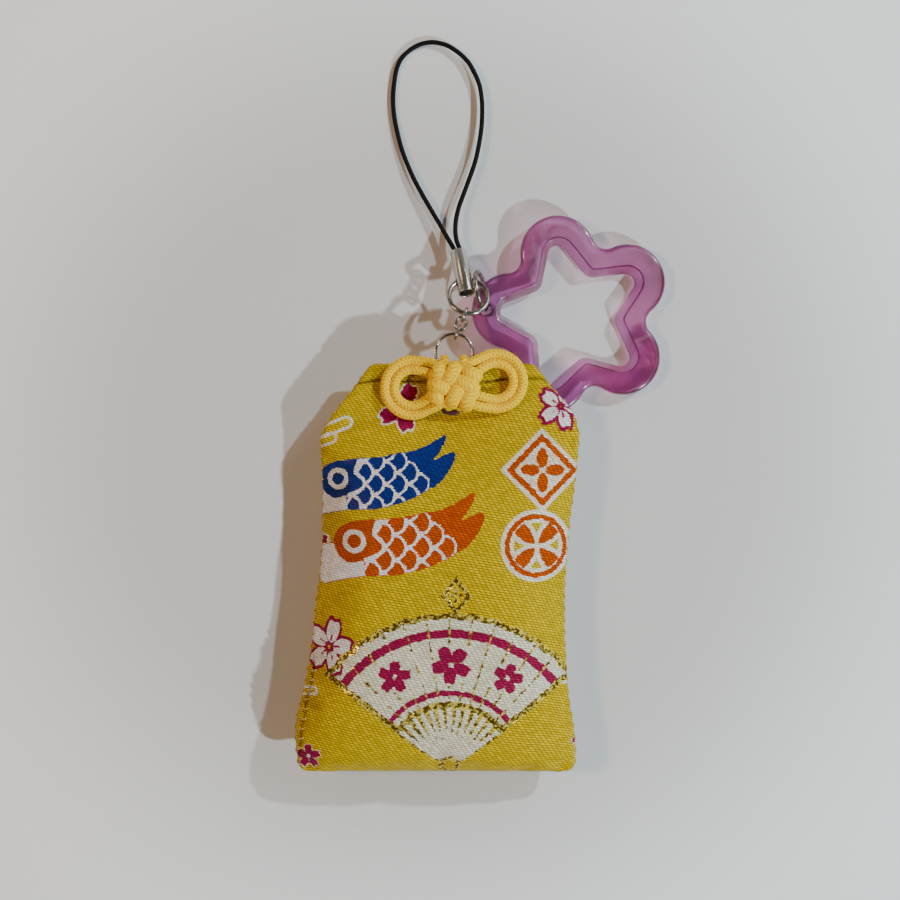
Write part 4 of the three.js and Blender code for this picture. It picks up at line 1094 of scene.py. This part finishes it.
# Strap cord. One loop of 0.85 mm waxed polyester cord, twisted tight and matt black; both ends are pressed in
# the ferrule. The springy loop comes down from it in a low arch and touches the table only at its far left.
STRAP, STRAP_SEAT, STRAP_SPACING = 0.85, 4.2, 0.95
STRAP_LOOP = (
    (-1.75, 2.3, 2.2), (-3.34, 5.1, 1.8), (-5.04, 8, 1.55), (-6.64, 10.8, 1.35), (-8.16, 13.7, 1.15),
    (-9.41, 16.6, 0.95), (-10.39, 19.4, 0.8), (-11.11, 22.3, 0.65), (-11.64, 25.1, 0.55), (-11.82, 28, 0.48),
    (-11.64, 30.8, 0.465), (-11.11, 33.7, 0.465), (-10, 35.8, 0.5), (-7.7, 37.6, 0.6), (-5.04, 38.3, 0.75),
    (-2.36, 37.8, 0.9), (-0.13, 36.5, 1.05), (1.39, 35.1, 1.15), (2.38, 33.7, 1.25), (3.71, 30.8, 1.35),
    (4.25, 28, 1.4), (4.34, 25.1, 1.45), (4.16, 22.3, 1.5), (3.71, 19.4, 1.55), (3.09, 16.6, 1.6),
    (2.11, 13.7, 1.65), (1.04, 10.8, 1.75), (0.05, 8, 1.9), (-0.5, 5.1, 2.1), (-0.35, 2.3, 2.4),
)
waxed = twisted_thread(
    "waxed_polyester_cord", {"Roughness": 0.6, "Specular IOR Level": 0.15}, "#040405", "#0C0C0E",
    pitch=0.5, radius=0.42, depth=0.02, strength=0.5,
)
strap_end = ferrule_hole + ferrule_way * (FERRULE_LENGTH / 2 + FERRULE_MIDDLE)
first_seat, last_seat = (
    [
        tuple(strap_end - ferrule_way * depth + ferrule_across * (STRAP_SPACING / 2 * sign))
        for depth in (STRAP_SEAT, STRAP_SEAT / 2, 0)
    ]
    for sign in (-1, 1)
)
loop_points = [(strap_end.x + across, strap_end.y + along, z) for across, along, z in STRAP_LOOP]
strap_run = smooth_run(first_seat + loop_points + last_seat[::-1], 0.4)
strap = cord_piece("strap_loop", [strap_run], STRAP / 2, 20, waxed)
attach(strap, "strap")
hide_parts("strap_cord")

# Star charm. One open star of clear purple acrylic, moulded with a rounded glossy rim, an opening whose wall
# slopes to the front and a small hole near one tip, which hangs on the charm ring; its far tips lie on the
# table. Its rims are coloured with painted shade and its sloping wall with a painted pale reflection, and its
# shadow has paler painted patches of light gathered through the plastic.
acrylic = new_material(
    "clear_purple_acrylic",
    {"Roughness": 0.02, "IOR": 1.49, "Transmission Weight": 1.0, "Coat Weight": 0.8, "Coat Roughness": 0.17},
)
flow = speckle(acrylic, 5, 2)
# Painted light: the value kept as "clear" colours the rims dark as painted shade and the sloping wall pale as
# a painted reflection.
depth = marked(acrylic, "clear")
body = blend(acrylic, ramp(acrylic, flow, 0.3, 0.7), "#D678C0", "#DF94D2")
rims_painted_dark = blend(acrylic, ramp(acrylic, depth, 0.0, 0.5), "#701A56", body)
tint = blend(acrylic, ramp(acrylic, depth, 0.5, 1.0), rims_painted_dark, "#EEBCE4")
drive(acrylic, {"Base Color": tint, "Normal": bump(acrylic, flow, 0.1, 0.5)})
# Painted light: the tint of its cast shadow has paler painted patches where light would gather through the
# plastic.
shade = blend(acrylic, ramp(acrylic, flow, 0.53, 0.59), "#685256", "#CEBCBC")
through = add(acrylic, "BsdfTransparent", {0: shade})
shadow_ray = add(acrylic, "LightPath", {}, "Is Shadow Ray")
plastic = acrylic.node_tree.nodes["Principled BSDF"].outputs[0]
surface = add(acrylic, "MixShader", {0: shadow_ray, 1: plastic, 2: through})
feed(acrylic, acrylic.node_tree.nodes["Material Output"], {"Surface": surface})

STAR_CORNERS, HOLE_AT, HOLE_RADIUS = 360, 16.0, 1.1
around = np.arange(STAR_CORNERS) * 2 * math.pi / STAR_CORNERS
fifth = np.abs((around + math.pi / 5) % (2 * math.pi / 5) - math.pi / 5)
valley = math.pi / 5 - fifth


def arc(middle, radius, angle, side):
    """Reach from the star's middle to a circle: side 1 is its far side, -1 its near one."""
    half_chord = np.sqrt(np.clip(radius**2 - (middle * np.sin(angle)) ** 2, 0, None))
    return middle * np.cos(angle) + side * half_chord


# Round tips and round valleys meet in the rim; in the opening, straight flanks lie between them.
rim = np.where(fifth < math.radians(28.91), arc(11.6, 6.9, fifth, 1), arc(15.6805, 2.3805, valley, -1))
tip_x, tip_y, valley_x, valley_y = 12.1195, 1.5403, 7.2362, 3.8209
run_x, run_y = valley_x - tip_x, valley_y - tip_y
flank = (tip_x * run_y - tip_y * run_x) / (np.cos(fifth) * run_y - np.sin(fifth) * run_x)
inner_sides = np.where(fifth < math.radians(27.84), flank, arc(10.2, 2.4, valley, -1))
opening = np.where(fifth < math.radians(7.243), arc(11.4, 1.7, fifth, 1), inner_sides)


def drawn_in(radii, distance):
    """An outline moved inwards, or outwards if the distance is negative, as points about the middle."""
    p = np.column_stack([radii * np.cos(around), radii * np.sin(around)])
    way = np.roll(p, -1, axis=0) - np.roll(p, 1, axis=0)
    way /= np.linalg.norm(way, axis=1, keepdims=True)
    return p + distance * np.column_stack([-way[:, 1], way[:, 0]])


# Each row is an outline, how far it is drawn in, its height, and its painted light: 0 is painted shade at
# the rims, 1 the painted pale reflection on the sloping wall.
profile = [
    (rim, 0.7, -1.4, 0.5), (rim, 0.6, -1.4, 0.5), (rim, 0.25, -1.25, 0.2), (rim, 0.1, -0.9, 0),
    (rim, 0.1, 0.75, 0), (rim, 0.28, 1.15, 0.1), (rim, 0.5, 1.32, 0.3), (rim, 0.75, 1.4, 0.5),
    (rim, 0.85, 1.4, 0.5), (opening, -1.45, 1.4, 0.5), (opening, -1.25, 1.4, 0.05),
    (opening, -1.1, 1.33, 0.9), (opening, -0.2, -0.4, 1), (opening, -0.03, -0.7, 0.1),
    (opening, 0, -1.2, 0.2), (opening, -0.15, -1.4, 0.5), (opening, -0.25, -1.4, 0.5),
]
bpy.ops.mesh.primitive_circle_add(vertices=STAR_CORNERS, radius=10 * MM)
star = bpy.context.object
star.name = "open_star"
for index, (radii, distance, z, _) in enumerate(profile):
    bpy.ops.object.mode_set(mode="EDIT")
    if index:
        bpy.ops.mesh.extrude_edges_move()
    else:
        bpy.ops.mesh.select_mode(type="EDGE")
        bpy.ops.mesh.select_all(action="SELECT")
    bpy.ops.object.mode_set(mode="OBJECT")
    shaped = np.column_stack([drawn_in(radii, distance), np.full(STAR_CORNERS, z)]) * MM
    loop = [v for v in star.data.vertices if v.select]
    for vertex, point in zip(sorted(loop, key=lambda v: v.index), shaped):
        vertex.co = point
bpy.ops.object.mode_set(mode="EDIT")
bpy.ops.mesh.select_all(action="SELECT")
bpy.ops.mesh.select_non_manifold(extend=False)
bpy.ops.mesh.bridge_edge_loops()
bpy.ops.mesh.select_all(action="SELECT")
bpy.ops.mesh.normals_make_consistent(inside=False)
bpy.ops.object.mode_set(mode="OBJECT")
# The fourth column, kept as "clear", carries the painted shade of the rims and the painted reflection on the
# wall.
mark(star, "clear", np.repeat([row[3] for row in profile], STAR_CORNERS))
bpy.ops.mesh.primitive_cylinder_add(
    vertices=48, radius=HOLE_RADIUS * MM, depth=6 * MM, location=(HOLE_AT * MM, 0, 0)
)
drill = bpy.context.object
bpy.ops.object.transform_apply(location=True)
cut(star, drill)
star_turn = math.radians(3.9)
star_place = (
    Matrix.Translation(Vector((7.008, 48.492, 3.597)) * MM)
    @ Matrix.Rotation(math.radians(3.771), 4, "Y")
    @ Matrix.Translation(Vector((HOLE_AT * math.cos(star_turn), -HOLE_AT * math.sin(star_turn), 0)) * MM)
    @ Matrix.Rotation(math.pi - star_turn, 4, "Z")
)
star.data.transform(star_place)
bpy.ops.object.shade_smooth_by_angle(angle=math.radians(35))
cover(star, acrylic)
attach(star, "star")
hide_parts("star_charm")
